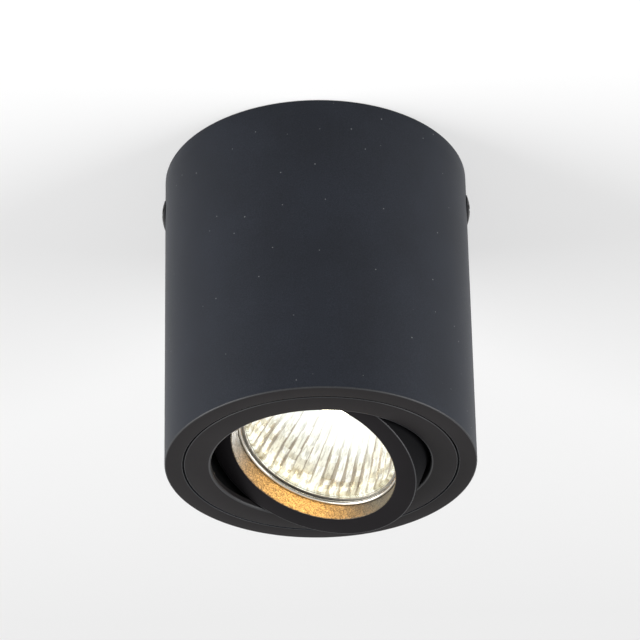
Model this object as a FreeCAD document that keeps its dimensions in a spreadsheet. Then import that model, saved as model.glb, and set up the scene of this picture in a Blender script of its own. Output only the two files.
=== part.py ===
import FreeCAD, Part
import math
import os
import re

import Sketcher

# A round surface mounted ceiling spotlight. A straight drum hangs on a strap bracket that its two
# side screws hold. A trim ring turns in the drum's bottom, and a lamp ring with a 50 mm reflector
# lamp tilts in the trim ring. Millimetres, +Z up. The origin is the middle of the ceiling face,
# so everything lies below z = 0. The model stands with the lamp tilted as it is photographed.

doc = FreeCAD.newDocument("CeilingSpotlight")
sheet = doc.addObject("Spreadsheet::Sheet", "Dims")

# Driving dimensions, millimetres and degrees.
SIZES = [
    # Housing: the drum, its in-turned rim and the shoulder that carries the trim ring.
    ("housing_height", 100.0),
    ("housing_wall", 2.25),
    ("rim_width", 5.35),
    ("shoulder_width", 2.9),
    ("shoulder_thickness", 1.9),
    ("edge_break", 0.35),
    ("side_screw_drop", 10.8),
    ("side_hole_gap", 0.3),
    ("spot_face_depth", 0.3),
    ("stop_rib_width", 3.4),
    ("stop_rib_height", 3.2),
    ("stop_overlap", 0.9),
    ("entry_offset", 9.0),
    # Mounting bracket.
    ("bracket_thickness", 1.6),
    ("bracket_width", 18.0),
    ("bracket_bend", 3.0),
    ("ear_gap", 0.15),
    ("ear_length", 17.8),
    ("ear_collar_radius", 4.0),
    ("ear_collar_length", 2.0),
    ("slot_spacing", 66.0),
    ("slot_width", 4.6),
    ("slot_length", 9.0),
    ("cable_hole_place", 21.0),
    ("cable_hole_radius", 5.0),
    ("bush_wall", 1.2),
    ("bush_flange_radius", 6.5),
    ("bush_flange_thickness", 1.4),
    # Side screws, M5 with low slotted heads.
    ("side_thread_radius", 2.5),
    ("side_head_radius", 4.7),
    ("side_head_height", 1.2),
    ("side_head_edge", 0.4),
    ("side_dome_radius", 4.2),
    ("side_screw_length", 8.0),
    ("side_slot_width", 1.2),
    ("side_slot_depth", 0.65),
    # Terminal block.
    ("block_length", 28.0),
    ("block_depth", 15.0),
    ("block_height", 11.5),
    ("pole_pitch", 8.5),
    ("clamp_drop", 5.2),
    ("clamp_radius", 2.15),
    ("clamp_bore_radius", 1.3),
    ("clamp_length", 13.0),
    ("clamp_screw_place", 4.6),
    ("clamp_thread_radius", 1.25),
    ("clamp_head_radius", 1.75),
    ("clamp_head_height", 1.6),
    ("chimney_radius", 2.0),
    ("chimney_recess", 0.7),
    ("fixing_thread_radius", 1.25),
    ("fixing_head_radius", 2.1),
    ("fixing_head_height", 1.4),
    ("fixing_head_sink", 3.3),
    # Earth point.
    ("earth_place", 22.0),
    ("earth_thread_radius", 2.0),
    ("earth_head_radius", 3.7),
    ("earth_head_height", 2.2),
    ("earth_washer_radius", 3.9),
    ("earth_washer_thickness", 0.8),
    ("tongue_radius", 3.6),
    ("tongue_thickness", 0.8),
    ("tongue_width", 3.0),
    ("tongue_length", 4.8),
    ("crimp_wall", 0.5),
    ("crimp_length", 3.6),
    # Trim ring, flush in the drum's bottom.
    ("flange_thickness", 2.0),
    ("aperture_gap", 0.66),
    ("aperture_round", 0.7),
    ("collar_wall", 1.8),
    ("collar_height", 18.0),
    ("flat_depth", 0.2),
    ("stop_lug_width", 2.8),
    ("stop_lug_height", 2.4),
    ("stop_lug_lift", 0.4),
    # Leaf springs and rivets that hold the trim ring up.
    ("spring_thickness", 0.4),
    ("spring_width", 7.0),
    ("spring_root", 7.4),
    ("spring_margin", 0.6),
    ("spring_room", 1.3),
    ("spring_hook", 1.1),
    ("spring_knee_lift", 1.2),
    ("spring_toe", 0.45),
    ("spring_count", 3.0),
    ("rivet_radius", 1.5),
    ("rivet_drop", 4.5),
    ("rivet_head_radius", 2.5),
    ("rivet_head_height", 0.8),
    ("rivet_tail_radius", 2.3),
    ("rivet_tail_height", 0.5),
    # Tilt hinge.
    ("pivot_height", 8.05),
    ("pivot_radius", 2.0),
    ("pivot_thread_radius", 1.5),
    ("pivot_head_radius", 3.0),
    ("pivot_head_height", 1.05),
    ("pivot_slot_width", 0.8),
    ("pivot_slot_depth", 0.5),
    ("boss_radius", 4.5),
    ("boss_height", 2.36),
    ("washer_radius", 3.6),
    ("washer_thickness", 0.5),
    # Lamp ring, measured from the tilt axis.
    ("lamp_ring_band", 6.61),
    ("lamp_ring_front", 7.41),
    ("lamp_ring_back", 8.0),
    ("lamp_ring_face", 2.0),
    ("lamp_ring_wall", 2.05),
    ("sleeve_wall", 2.2),
    ("ledge_reach", 1.13),
    ("ledge_thickness", 1.8),
    ("glass_depth", 7.0),
    ("clip_wire_radius", 0.7),
    ("clip_seat", 0.4),
    ("clip_gap_angle", 24.0),
    ("clip_gap_place", 146.0),
    # Reflector lamp, 50.7 mm at most, with a two-pin bayonet cap.
    ("lamp_radius", 25.3),
    ("lamp_rim", 2.6),
    ("lamp_shoulder", 1.1),
    ("lamp_curve_radius", 42.0),
    ("cover_glass_edge", 1.35),
    ("cover_glass_thickness", 1.5),
    ("mirror_edge", 2.3),
    ("neck_radius", 9.8),
    ("neck_bore", 6.0),
    ("neck_start", 26.4),
    ("neck_end", 28.4),
    ("vertex_depth", 25.4),
    ("base_radius", 11.5),
    ("base_length", 47.0),
    ("base_taper", 1.0),
    ("cup_depth", 1.8),
    ("stub_length", 1.0),
    ("capsule_radius", 4.8),
    ("capsule_wall", 0.8),
    ("capsule_front", 9.6),
    ("capsule_dome", 4.8),
    ("capsule_seat_radius", 3.6),
    ("capsule_seat_length", 4.8),
    ("filament_radius", 0.55),
    ("filament_depth", 14.5),
    ("filament_half_span", 2.2),
    ("filament_leg_radius", 0.25),
    ("pin_spacing", 10.0),
    ("pin_neck_radius", 1.3),
    ("pin_neck_length", 2.7),
    ("pin_head_radius", 2.4),
    ("pin_head_length", 3.2),
    ("pin_shank_length", 5.0),
    # Lampholder.
    ("holder_radius", 12.5),
    ("holder_length", 12.0),
    ("holder_plate", 1.8),
    ("holder_cap", 3.0),
    ("chamber_radius", 3.4),
    ("keyhole_radius", 2.7),
    ("keyslot_radius", 1.6),
    ("twist_angle", 45.0),
    ("holder_screw_place", 9.3),
    ("holder_thread_radius", 1.5),
    ("holder_thread_depth", 6.0),
    ("holder_head_radius", 2.7),
    ("holder_head_height", 1.3),
    ("holder_slot_width", 0.8),
    ("contact_disc_radius", 3.1),
    ("contact_disc_thickness", 0.5),
    ("contact_stem_radius", 1.1),
    # Leads.
    ("lead_radius", 0.9),
    ("lead_grip", 1.0),
    ("lead_step", 5.4),
    ("lead_hole_gap", 0.2),
    # Clearances.
    ("lamp_gap", 0.33),
    ("groove_gap", 0.55),
    ("seat_gap", 0.1),
    ("swivel_gap", 0.1),
    ("pivot_gap", 0.05),
    ("thread_gap", 0.02),
    ("part_gap", 0.05),
    ("head_gap", 0.3),
    # How the model stands: the tilt as photographed, and the way that the lamp faces.
    ("tilt_rest", 22.72),
    ("tilt_azimuth", 214.17),
]

# Sizes that follow from the driving ones.
FOLLOWING = [
    ("lamp_ring_bore", "lamp_radius + lamp_gap"),
    ("lamp_ring_radius", "lamp_ring_bore + lamp_ring_band"),
    ("boss_reach", "lamp_ring_radius + boss_height"),
    ("aperture_radius", "lamp_ring_radius + aperture_gap"),
    ("collar_bore", "boss_reach + washer_thickness + head_gap"),
    ("collar_radius", "collar_bore + collar_wall"),
    ("collar_flat", "collar_radius - flat_depth"),
    ("shoulder_radius", "collar_radius + spring_room"),
    ("spring_knee_radius", "shoulder_radius + spring_hook"),
    ("rim_radius", "shoulder_radius + shoulder_width"),
    ("trim_radius", "rim_radius - groove_gap"),
    ("stop_lug_radius", "rim_radius - head_gap"),
    ("housing_radius", "rim_radius + rim_width"),
    ("bore_radius", "housing_radius - housing_wall"),
    ("bottom", "0 - housing_height"),
    ("shoulder_under", "bottom + flange_thickness + seat_gap"),
    ("shoulder_top", "shoulder_under + shoulder_thickness"),
    ("stop_rib_radius", "stop_lug_radius - stop_overlap"),
    ("hinge_azimuth", "tilt_azimuth - 90"),
    ("stop_rib_azimuth", "hinge_azimuth - 90"),
    ("spot_face", "housing_radius - spot_face_depth"),
    ("side_screw_height", "0 - side_screw_drop"),
    ("ear_face", "sqrt((bore_radius - ear_gap)^2 - (bracket_width / 2)^2)"),
    ("strap_under", "0 - bracket_thickness"),
    ("block_under", "strap_under - block_height"),
    ("clamp_height", "strap_under - clamp_drop"),
    ("tongue_under", "strap_under - tongue_thickness"),
    ("earth_seat", "tongue_under - earth_washer_thickness"),
    ("crimp_radius", "lead_radius + part_gap + crimp_wall"),
    ("crimp_height", "strap_under - part_gap - crimp_radius"),
    ("land_radius", "shoulder_radius - swivel_gap"),
    ("flange_top", "bottom + flange_thickness"),
    ("collar_top", "flange_top + collar_height"),
    ("pivot_level", "bottom + pivot_height"),
    ("rivet_level", "collar_top - rivet_drop"),
    ("ring_front", "0 - lamp_ring_front"),
    ("ring_inner_wall", "lamp_ring_radius - lamp_ring_wall"),
    ("ring_face_back", "ring_front + lamp_ring_face"),
    ("sleeve_radius", "lamp_ring_bore + sleeve_wall"),
    ("ledge_radius", "lamp_ring_bore - ledge_reach"),
    ("lamp_shoulder_radius", "lamp_radius - lamp_shoulder"),
    ("cover_glass_radius", "lamp_radius - cover_glass_edge"),
    ("mirror_radius", "lamp_radius - mirror_edge"),
    ("glass_front", "ring_front + glass_depth"),
    ("rim_back", "glass_front + lamp_rim"),
    ("ledge_front", "rim_back + part_gap"),
    ("clip_radius", "lamp_ring_bore + clip_seat - part_gap - clip_wire_radius"),
    ("clip_level", "glass_front - part_gap - clip_wire_radius"),
    ("glass_back", "glass_front + cover_glass_thickness"),
    ("pin_place", "pin_spacing / 2"),
    ("lamp_end", "glass_front + base_length"),
    ("cup_floor", "glass_front + neck_end + part_gap"),
    ("stub_start", "cup_floor - cup_depth - stub_length"),
    ("capsule_seat", "stub_start - part_gap"),
    ("capsule_end", "capsule_seat + capsule_seat_length"),
    ("pin_tip", "lamp_end + pin_neck_length + pin_head_length"),
    ("holder_front", "lamp_end + part_gap"),
    ("holder_back", "holder_front + holder_length"),
    ("holder_top", "holder_back + holder_cap"),
    ("contact_seat", "holder_back - contact_disc_thickness"),
    ("lead_hole_radius", "lead_radius + lead_hole_gap"),
]

ALIASES = set()


def write_cells(rows, first_row, lead):
    """Write named cells; lead is "" for a plain number and "=" for a formula."""
    for row, (alias, content) in enumerate(rows, first_row):
        sheet.set(f"A{row}", alias)
        sheet.set(f"B{row}", f"{lead}{content}")
        sheet.setAlias(f"B{row}", alias)
        ALIASES.add(alias)


write_cells(SIZES, 1, "")
write_cells(FOLLOWING, len(SIZES) + 1, "=")
doc.recompute()


def formula(text):
    """The same formula with each named size read from the sheet."""

    def cell(match):
        word = match.group(0)
        return f"Dims.{word}" if word in ALIASES else word

    return re.sub(r"[a-z_]+", cell, str(text))


def number(text):
    """What a formula comes to now."""
    return float(sheet.evalExpression(formula(text)))


def bind(thing, prop, text):
    """Tie a property to a formula of named sizes."""
    thing.setExpression(prop, formula(text))


def place(thing, across="0", along="0", up="0", yaw="0", pitch="0", roll="0"):
    """Tie a placement: a point, then turns about Z, Y and X."""
    point = f"vector({across}; {along}; {up})"
    bind(thing, "Placement", f"placement({point}; rotation({yaw}; {pitch}; {roll}))")
    return thing


def place_in_trim(thing):
    """Turn a piece that was drawn with the hinge along X so that the hinge lies as photographed."""
    return place(thing, yaw="hinge_azimuth")


def place_in_head(thing, yaw="0"):
    """Set a piece that was drawn about the tilt axis, front down, into the tilted lamp head."""
    turned = f"rotation(hinge_azimuth; 0; tilt_rest) * rotation({yaw}; 0; 0)"
    bind(thing, "Placement", f"placement(vector(0; 0; pivot_level); {turned})")
    return thing


# Sketch helpers.


def origin_plane(body, role):
    return next(plane for plane in body.Origin.OriginFeatures if plane.Role == role)


def new_body(label):
    body = doc.addObject("PartDesign::Body", label)
    body.Label = label
    return body


def new_sketch(body, name, role, offset="0", turn="0"):
    """A sketch on one of the body's own planes, moved along its normal and turned in itself."""
    sketch = body.newObject("Sketcher::SketchObject", name)
    sketch.AttachmentSupport = [(origin_plane(body, role), "")]
    sketch.MapMode = "FlatFace"
    bind(sketch, "AttachmentOffset", f"placement(vector(0; 0; {offset}); rotation({turn}; 0; 0))")
    return sketch


def pin_point(sketch, edge, end, across, up):
    """Hold one end of an edge at a named place."""
    for kind, line, text in (("DistanceX", -2, across), ("DistanceY", -1, up)):
        value = number(text)
        if text == "0":
            sketch.addConstraint(Sketcher.Constraint("PointOnObject", edge, end, line))
        else:
            index = sketch.addConstraint(Sketcher.Constraint(kind, -1, 1, edge, end, value))
            bind(sketch, f"Constraints[{index}]", text)


def arc_between(start, finish, radius):
    """The short arc from start to finish; a positive radius has its centre on the left."""
    chord = finish - start
    middle = (start + finish) / 2
    left = FreeCAD.Vector(-chord.y, chord.x, 0).normalize()
    height = math.sqrt(max(radius * radius - chord.Length**2 / 4, 0.0))
    centre = middle + left * math.copysign(height, radius)
    first, last = (start, finish) if radius > 0 else (finish, start)
    angles = [math.atan2(p.y - centre.y, p.x - centre.x) for p in (first, last)]
    circle = Part.Circle(centre, FreeCAD.Vector(0, 0, 1), abs(radius))
    return Part.ArcOfCircle(circle, angles[0], angles[1])


def draw_outline(sketch, corners):
    """Draw a closed outline. A corner is (across, up), or (across, up, radius) before an arc."""
    points = [FreeCAD.Vector(number(c[0]), number(c[1]), 0) for c in corners]
    ends = []
    edges = []
    for index, corner in enumerate(corners):
        start = points[index]
        finish = points[(index + 1) % len(corners)]
        if len(corner) == 2:
            edge = sketch.addGeometry(Part.LineSegment(start, finish), False)
            ends.append((1, 2))
        else:
            radius = number(corner[2])
            edge = sketch.addGeometry(arc_between(start, finish, radius), False)
            ends.append((1, 2) if radius > 0 else (2, 1))
        edges.append(edge)
    for index, edge in enumerate(edges):
        following = (index + 1) % len(edges)
        joint = (edge, ends[index][1], edges[following], ends[following][0])
        sketch.addConstraint(Sketcher.Constraint("Coincident", *joint))
    for index, edge in enumerate(edges):
        pin_point(sketch, edge, ends[index][0], corners[index][0], corners[index][1])
    for index, edge in enumerate(edges):
        if len(corners[index]) == 3:
            radius = corners[index][2]
            size = Sketcher.Constraint("Radius", edge, abs(number(radius)))
            bind(sketch, f"Constraints[{sketch.addConstraint(size)}]", f"abs({radius})")
    return sketch


def draw_circle(sketch, across, up, radius):
    centre = FreeCAD.Vector(number(across), number(up), 0)
    round_edge = Part.Circle(centre, FreeCAD.Vector(0, 0, 1), number(radius))
    edge = sketch.addGeometry(round_edge, False)
    pin_point(sketch, edge, 3, across, up)
    size = sketch.addConstraint(Sketcher.Constraint("Radius", edge, number(radius)))
    bind(sketch, f"Constraints[{size}]", radius)
    return sketch


def draw_box(sketch, low_across, low_up, high_across, high_up):
    corners = [(low_across, low_up), (high_across, low_up)]
    return draw_outline(sketch, corners + [(high_across, high_up), (low_across, high_up)])


def draw_slot(sketch, across, length, width):
    """An obround slot along the sketch's first axis, centred on its second."""
    reach = f"({length} - {width}) / 2"
    half = f"{width} / 2"
    corners = [
        (f"{across} - {reach}", f"0 - {half}"),
        (f"{across} + {reach}", f"0 - {half}", half),
        (f"{across} + {length} / 2", "0", half),
        (f"{across} + {reach}", half),
        (f"{across} - {reach}", half, half),
        (f"{across} - {length} / 2", "0", half),
    ]
    return draw_outline(sketch, corners)


def revolve(body, name, corners, axis="V_Axis"):
    """Turn an outline on the body's XZ plane right round."""
    sketch = draw_outline(new_sketch(body, f"{name}_outline", "XZ_Plane"), corners)
    turned = body.newObject("PartDesign::Revolution", name)
    turned.Profile = sketch
    turned.ReferenceAxis = (sketch, [axis])
    turned.Angle = 360.0
    doc.recompute()
    return turned


def pad(body, name, sketch, length, flipped=False, both_ways=False):
    block = body.newObject("PartDesign::Pad", name)
    block.Profile = sketch
    block.Reversed = flipped
    block.SideType = "Symmetric" if both_ways else "One side"
    bind(block, "Length", length)
    doc.recompute()
    return block


def pocket(body, name, sketch, length=None, flipped=False, both_ways=False):
    """Cut a sketch into the body, right through where no length is given."""
    volume = body.Shape.Volume
    hole = body.newObject("PartDesign::Pocket", name)
    hole.Profile = sketch
    hole.Reversed = flipped
    hole.SideType = "Symmetric" if both_ways else "One side"
    if length is None:
        hole.Type = "ThroughAll"
    else:
        bind(hole, "Length", length)
    doc.recompute()
    if body.Shape.Volume >= volume:
        raise RuntimeError(f"{body.Label}: {name} cuts nothing")
    return hole


def repeat_round(body, name, features, count):
    """Repeat features about the body's vertical axis."""
    pattern = body.newObject("PartDesign::PolarPattern", name)
    pattern.Originals = features
    axis = next(line for line in body.Origin.OriginFeatures if line.Role == "Z_Axis")
    pattern.Axis = (axis, [""])
    pattern.Angle = 360.0
    bind(pattern, "Occurrences", count)
    body.Tip = pattern
    doc.recompute()
    return pattern


# Helpers for pieces made of plain round and square stock.

TURNS = {"Z": ("0", "0", "0"), "X": ("0", "90", "0"), "Y": ("0", "0", "-90")}


def rod(name, radius, length, across="0", along="0", up="0", axis="Z"):
    """A cylinder that starts at a point and runs along an axis."""
    stock = doc.addObject("Part::Cylinder", name)
    bind(stock, "Radius", radius)
    bind(stock, "Height", length)
    yaw, pitch, roll = TURNS[axis]
    return place(stock, across, along, up, yaw, pitch, roll)


def bar(name, low, size):
    """A box from its lowest corner and its three lengths."""
    stock = doc.addObject("Part::Box", name)
    for prop, text in zip(("Length", "Width", "Height"), size):
        bind(stock, prop, text)
    return place(stock, *low)


def join(label, shapes):
    whole = doc.addObject("Part::MultiFuse", label)
    whole.Shapes = shapes
    whole.Label = label
    return whole


def cut(label, base, tools):
    """The base without the tools."""
    left = doc.addObject("Part::Cut", label)
    left.Base = base
    left.Tool = tools[0] if len(tools) == 1 else join(f"{label}_tools", tools)
    left.Label = label
    return left


def group(label, links):
    """Like pieces that share one name, as separate solids."""
    pack = doc.addObject("Part::Compound", label)
    pack.Links = links
    pack.Label = label
    return pack


def tube(label, points, radius):
    """A round lead along straight runs joined by tangent arcs, each as large as its runs allow."""
    edges = []
    radii = []
    start = points[0]
    for before, corner, after in zip(points, points[1:], points[2:]):
        inward = (corner - before).normalize()
        outward = (after - corner).normalize()
        run = min((corner - before).Length, (after - corner).Length)
        half_turn = inward.getAngle(outward) / 2
        bend = 0.45 * run / math.tan(half_turn)
        first = corner - inward * (bend * math.tan(half_turn))
        last = corner + outward * (bend * math.tan(half_turn))
        to_centre = (outward - inward).normalize()
        middle = corner + to_centre * (bend / math.cos(half_turn) - bend)
        edges.append(Part.LineSegment(start, first).toShape())
        edges.append(Part.Arc(first, middle, last).toShape())
        radii.append(bend)
        start = last
    edges.append(Part.LineSegment(start, points[-1]).toShape())
    path = Part.Wire(edges)
    heading = (points[1] - points[0]).normalize()
    section = Part.Wire([Part.Circle(points[0], heading, radius).toShape()])
    solid = path.makePipeShell([section], True, False)
    if solid.Volume < 0:
        solid.reverse()
    expected = math.pi * radius**2 * path.Length
    bends = ", ".join(f"{bend:.1f}" for bend in radii)
    share = solid.Volume / expected
    print(f"{label}: length {path.Length:.1f}, bend radii {bends}")
    print(f"{label}: volume {share:.4f} of section times length")
    if abs(share - 1) > 0.01:
        raise RuntimeError(f"{label}: the tube's volume is wrong")
    lead = doc.addObject("Part::Feature", label)
    lead.Label = label
    lead.Shape = solid
    return lead


# Pieces that stay on the ceiling.


def make_housing():
    """The drum: an open tube with a rim turned in at the bottom and a shoulder inside it."""
    body = new_body("housing")
    wall = [
        ("bore_radius", "0"),
        ("housing_radius", "0"),
        ("housing_radius", "bottom + edge_break"),
        ("housing_radius - edge_break", "bottom"),
        ("rim_radius + edge_break / 2", "bottom"),
        ("rim_radius", "bottom + edge_break / 2"),
        ("rim_radius", "shoulder_under"),
        ("shoulder_radius", "shoulder_under"),
        ("shoulder_radius", "shoulder_top"),
        ("bore_radius", "shoulder_top"),
    ]
    revolve(body, "wall", wall)
    holes = new_sketch(body, "side_holes_outline", "YZ_Plane")
    draw_circle(holes, "0", "side_screw_height", "side_thread_radius + side_hole_gap")
    pocket(body, "side_holes", holes, both_ways=True)
    for side, sign in (("right", ""), ("left", "0 - ")):
        face = new_sketch(body, f"spot_{side}_outline", "YZ_Plane", f"{sign}spot_face")
        draw_circle(face, "0", "side_screw_height", "side_head_radius + head_gap")
        pocket(body, f"spot_{side}", face, "spot_face_depth * 2", flipped=side == "right")
    rib = new_sketch(body, "stop_rib_outline", "XY_Plane", "shoulder_top", "stop_rib_azimuth")
    half = "stop_rib_width / 2"
    draw_box(rib, "stop_rib_radius", f"0 - {half}", "bore_radius + housing_wall / 2", half)
    pad(body, "stop_rib", rib, "stop_rib_height")
    azimuth = "stop_rib_azimuth + entry_offset"
    entry = new_sketch(body, "lug_entry_outline", "XY_Plane", "shoulder_top", azimuth)
    half = "(stop_lug_width + head_gap * 2) / 2"
    draw_box(entry, "collar_radius", f"0 - {half}", "rim_radius", half)
    pocket(body, "lug_entry", entry, "shoulder_thickness")
    return body


def make_bracket():
    """The steel strap with an ear turned down at each end, tapped for the side screws."""
    body = new_body("mounting_bracket")
    inner_bend = "bracket_bend - bracket_thickness"
    ear_inside = "ear_face - bracket_thickness"
    bend_start = "ear_face - bracket_bend"
    strap = [
        ("0 - ear_face", "0 - ear_length"),
        ("bracket_thickness - ear_face", "0 - ear_length"),
        ("bracket_thickness - ear_face", "0 - bracket_bend", f"0 - ({inner_bend})"),
        ("bracket_bend - ear_face", "strap_under"),
        (bend_start, "strap_under", f"0 - ({inner_bend})"),
        (ear_inside, "0 - bracket_bend"),
        (ear_inside, "0 - ear_length"),
        ("ear_face", "0 - ear_length"),
        ("ear_face", "0 - bracket_bend", "bracket_bend"),
        (bend_start, "0"),
        ("bracket_bend - ear_face", "0", "bracket_bend"),
        ("0 - ear_face", "0 - bracket_bend"),
    ]
    outline = draw_outline(new_sketch(body, "strap_outline", "XZ_Plane"), strap)
    pad(body, "strap", outline, "bracket_width", both_ways=True)
    for side, sign in (("right", ""), ("left", "0 - ")):
        offset = f"{sign}({ear_inside})"
        collar = new_sketch(body, f"collar_{side}_outline", "YZ_Plane", offset)
        draw_circle(collar, "0", "side_screw_height", "ear_collar_radius")
        pad(body, f"collar_{side}", collar, "ear_collar_length", flipped=side == "right")
    threads = new_sketch(body, "ear_threads_outline", "YZ_Plane")
    draw_circle(threads, "0", "side_screw_height", "side_thread_radius + thread_gap")
    pocket(body, "ear_threads", threads, both_ways=True)
    holes = new_sketch(body, "strap_holes_outline", "XY_Plane")
    draw_slot(holes, "slot_spacing / 2", "slot_length", "slot_width")
    draw_slot(holes, "0 - slot_spacing / 2", "slot_length", "slot_width")
    draw_circle(holes, "0 - cable_hole_place", "0", "cable_hole_radius")
    draw_circle(holes, "earth_place", "0", "earth_thread_radius + thread_gap")
    for sign in ("", "0 - "):
        place_across = f"{sign}pole_pitch / 2"
        draw_circle(holes, place_across, "0", "fixing_thread_radius + thread_gap")
    pocket(body, "strap_holes", holes)
    return body


def make_side_screw(label, side, slot_turn):
    """A low slotted M5 screw, drawn along X with its seat at x = 0, set in from one side."""
    body = new_body(label)
    chamfer = "side_thread_radius * 0.2"
    profile = [
        ("0 - side_screw_length", "0"),
        ("side_head_height", "0"),
        ("side_head_height", "side_slot_width", "side_dome_radius"),
        ("side_head_edge", "side_head_radius"),
        ("0", "side_head_radius"),
        ("0", "side_thread_radius"),
        (f"{chamfer} - side_screw_length", "side_thread_radius"),
        ("0 - side_screw_length", f"side_thread_radius - {chamfer}"),
    ]
    revolve(body, "turned", profile, "H_Axis")
    slot = new_sketch(body, "slot_outline", "YZ_Plane", "side_head_height")
    half = "side_slot_width / 2"
    draw_box(slot, "0 - side_head_radius", f"0 - {half}", "side_head_radius", half)
    pocket(body, "slot", slot, "side_slot_depth")
    sign, yaw = ("", "0") if side == "right" else ("0 - ", "180")
    return place(body, f"{sign}spot_face", "0", "side_screw_height", yaw, "0", slot_turn)


def make_cable_bush():
    """The edge bush in the strap's hole, where the mains cable comes in."""
    body = new_body("cable_bush")
    profile = [
        ("cable_hole_radius - bush_wall", "0 - part_gap"),
        ("cable_hole_radius - part_gap", "0 - part_gap"),
        ("cable_hole_radius - part_gap", "strap_under"),
        ("bush_flange_radius", "strap_under"),
        ("bush_flange_radius", "strap_under - bush_flange_thickness"),
        ("cable_hole_radius - bush_wall", "strap_under - bush_flange_thickness"),
    ]
    revolve(body, "turned", profile)
    return place(body, across="0 - cable_hole_place")


def pole_places():
    """The three poles across the terminal block: neutral, live and earth."""
    return [("neutral", "0 - pole_pitch"), ("live", "0"), ("earth", "pole_pitch")]


def make_terminal_block():
    """The moulded block: a bore along Y and two screw chimneys for each pole."""
    body = new_body("terminal_block")
    face = new_sketch(body, "block_outline", "XY_Plane", "strap_under")
    half_length, half_depth = "block_length / 2", "block_depth / 2"
    draw_box(face, f"0 - {half_length}", f"0 - {half_depth}", half_length, half_depth)
    pad(body, "block", face, "block_height", flipped=True)
    bores = new_sketch(body, "bores_outline", "XZ_Plane")
    chimneys = new_sketch(body, "chimneys_outline", "XY_Plane", "block_under")
    for _, across in pole_places():
        draw_circle(bores, across, "clamp_height", "clamp_radius + part_gap")
        for sign in ("", "0 - "):
            draw_circle(chimneys, across, f"{sign}clamp_screw_place", "chimney_radius")
    pocket(body, "bores", bores, both_ways=True)
    pocket(body, "chimneys", chimneys, "block_height - clamp_drop", flipped=True)
    sinks = new_sketch(body, "sinks_outline", "XY_Plane", "block_under")
    holes = new_sketch(body, "fixing_holes_outline", "XY_Plane", "block_under")
    for sign in ("", "0 - "):
        draw_circle(sinks, f"{sign}pole_pitch / 2", "0", "fixing_head_radius + part_gap * 2")
        draw_circle(holes, f"{sign}pole_pitch / 2", "0", "fixing_thread_radius + part_gap * 3")
    pocket(body, "sinks", sinks, "fixing_head_sink", flipped=True)
    pocket(body, "fixing_holes", holes, flipped=True)
    return body


def slotted_screw_up(name, across, along, seat, thread_radius, thread_length, head_radius, head):
    """A screw driven upwards: its thread above the seat, its slotted head below."""
    turned = join(f"{name}_turned", [
        rod(f"{name}_thread", thread_radius, thread_length, across, along, seat),
        rod(f"{name}_head", head_radius, head, across, along, f"{seat} - {head}"),
    ])
    width = f"{head_radius} * 0.3"
    low = (f"{across} - {head_radius}", f"{along} - {width} / 2", f"{seat} - {head}")
    slot = bar(f"{name}_slot", low, (f"{head_radius} * 2", width, f"{head} * 0.4"))
    return cut(name, turned, [slot])


def make_terminal_parts():
    """Brass clamps, their screws and the two screws that hold the block to the strap."""
    clamps = []
    screws = []
    tip = "clamp_height - lead_radius - part_gap"
    seat = "block_under + chimney_recess + clamp_head_height"
    for pole, across in pole_places():
        start = "0 - clamp_length / 2"
        shell = rod(f"clamp_{pole}_shell", "clamp_radius", "clamp_length",
                    across, start, "clamp_height", "Y")
        tools = [rod(f"clamp_{pole}_bore", "clamp_bore_radius", "clamp_length",
                     across, start, "clamp_height", "Y")]
        for row, sign in (("front", "0 - "), ("back", "")):
            along = f"{sign}clamp_screw_place"
            tools.append(rod(f"clamp_{pole}_{row}_thread", "clamp_thread_radius + thread_gap",
                             "clamp_radius", across, along, "clamp_height - clamp_radius"))
            screws.append(slotted_screw_up(f"clamp_{pole}_{row}_screw", across, along, seat,
                                           "clamp_thread_radius", f"{tip} - ({seat})",
                                           "clamp_head_radius", "clamp_head_height"))
        clamps.append(cut(f"clamp_{pole}", shell, tools))
    fixings = []
    fixing_seat = "block_under + fixing_head_sink"
    for side, sign in (("left", "0 - "), ("right", "")):
        fixings.append(slotted_screw_up(f"fixing_{side}", f"{sign}pole_pitch / 2", "0", fixing_seat,
                                        "fixing_thread_radius", f"0 - part_gap - ({fixing_seat})",
                                        "fixing_head_radius", "fixing_head_height"))
    return [group("terminal_clamps", clamps), group("terminal_screws", screws),
            group("terminal_fixing_screws", fixings)]


def make_earth_point():
    """The earth screw, its washer and the ring terminal crimped to the earth lead."""
    screw = slotted_screw_up("earth_screw", "earth_place", "0", "earth_seat",
                             "earth_thread_radius", "0 - part_gap - earth_seat",
                             "earth_head_radius", "earth_head_height")
    hole = "earth_thread_radius + part_gap * 2"
    washer = cut("earth_washer",
                 rod("washer_disc", "earth_washer_radius", "earth_washer_thickness",
                     "earth_place", "0", "earth_seat"),
                 [rod("washer_hole", hole, "earth_washer_thickness",
                      "earth_place", "0", "earth_seat")])
    crimp_start = "0 - tongue_length - crimp_length"
    neck_low = ("earth_place - tongue_width / 2", "0 - tongue_length - crimp_length / 4",
                "tongue_under")
    neck_size = ("tongue_width", "tongue_length + crimp_length / 4", "tongue_thickness")
    terminal = join("terminal_blank", [
        rod("tongue", "tongue_radius", "tongue_thickness", "earth_place", "0", "tongue_under"),
        bar("tongue_neck", neck_low, neck_size),
        rod("crimp", "crimp_radius", "crimp_length",
            "earth_place", crimp_start, "crimp_height", "Y"),
    ])
    terminal = cut("earth_ring_terminal", terminal, [
        rod("tongue_hole", hole, "tongue_thickness", "earth_place", "0", "tongue_under"),
        rod("crimp_bore", "lead_radius + part_gap", "crimp_length",
            "earth_place", crimp_start, "crimp_height", "Y"),
    ])
    return [screw, washer, terminal]


# Pieces that turn with the trim ring. They are drawn with the tilt hinge along X.


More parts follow.
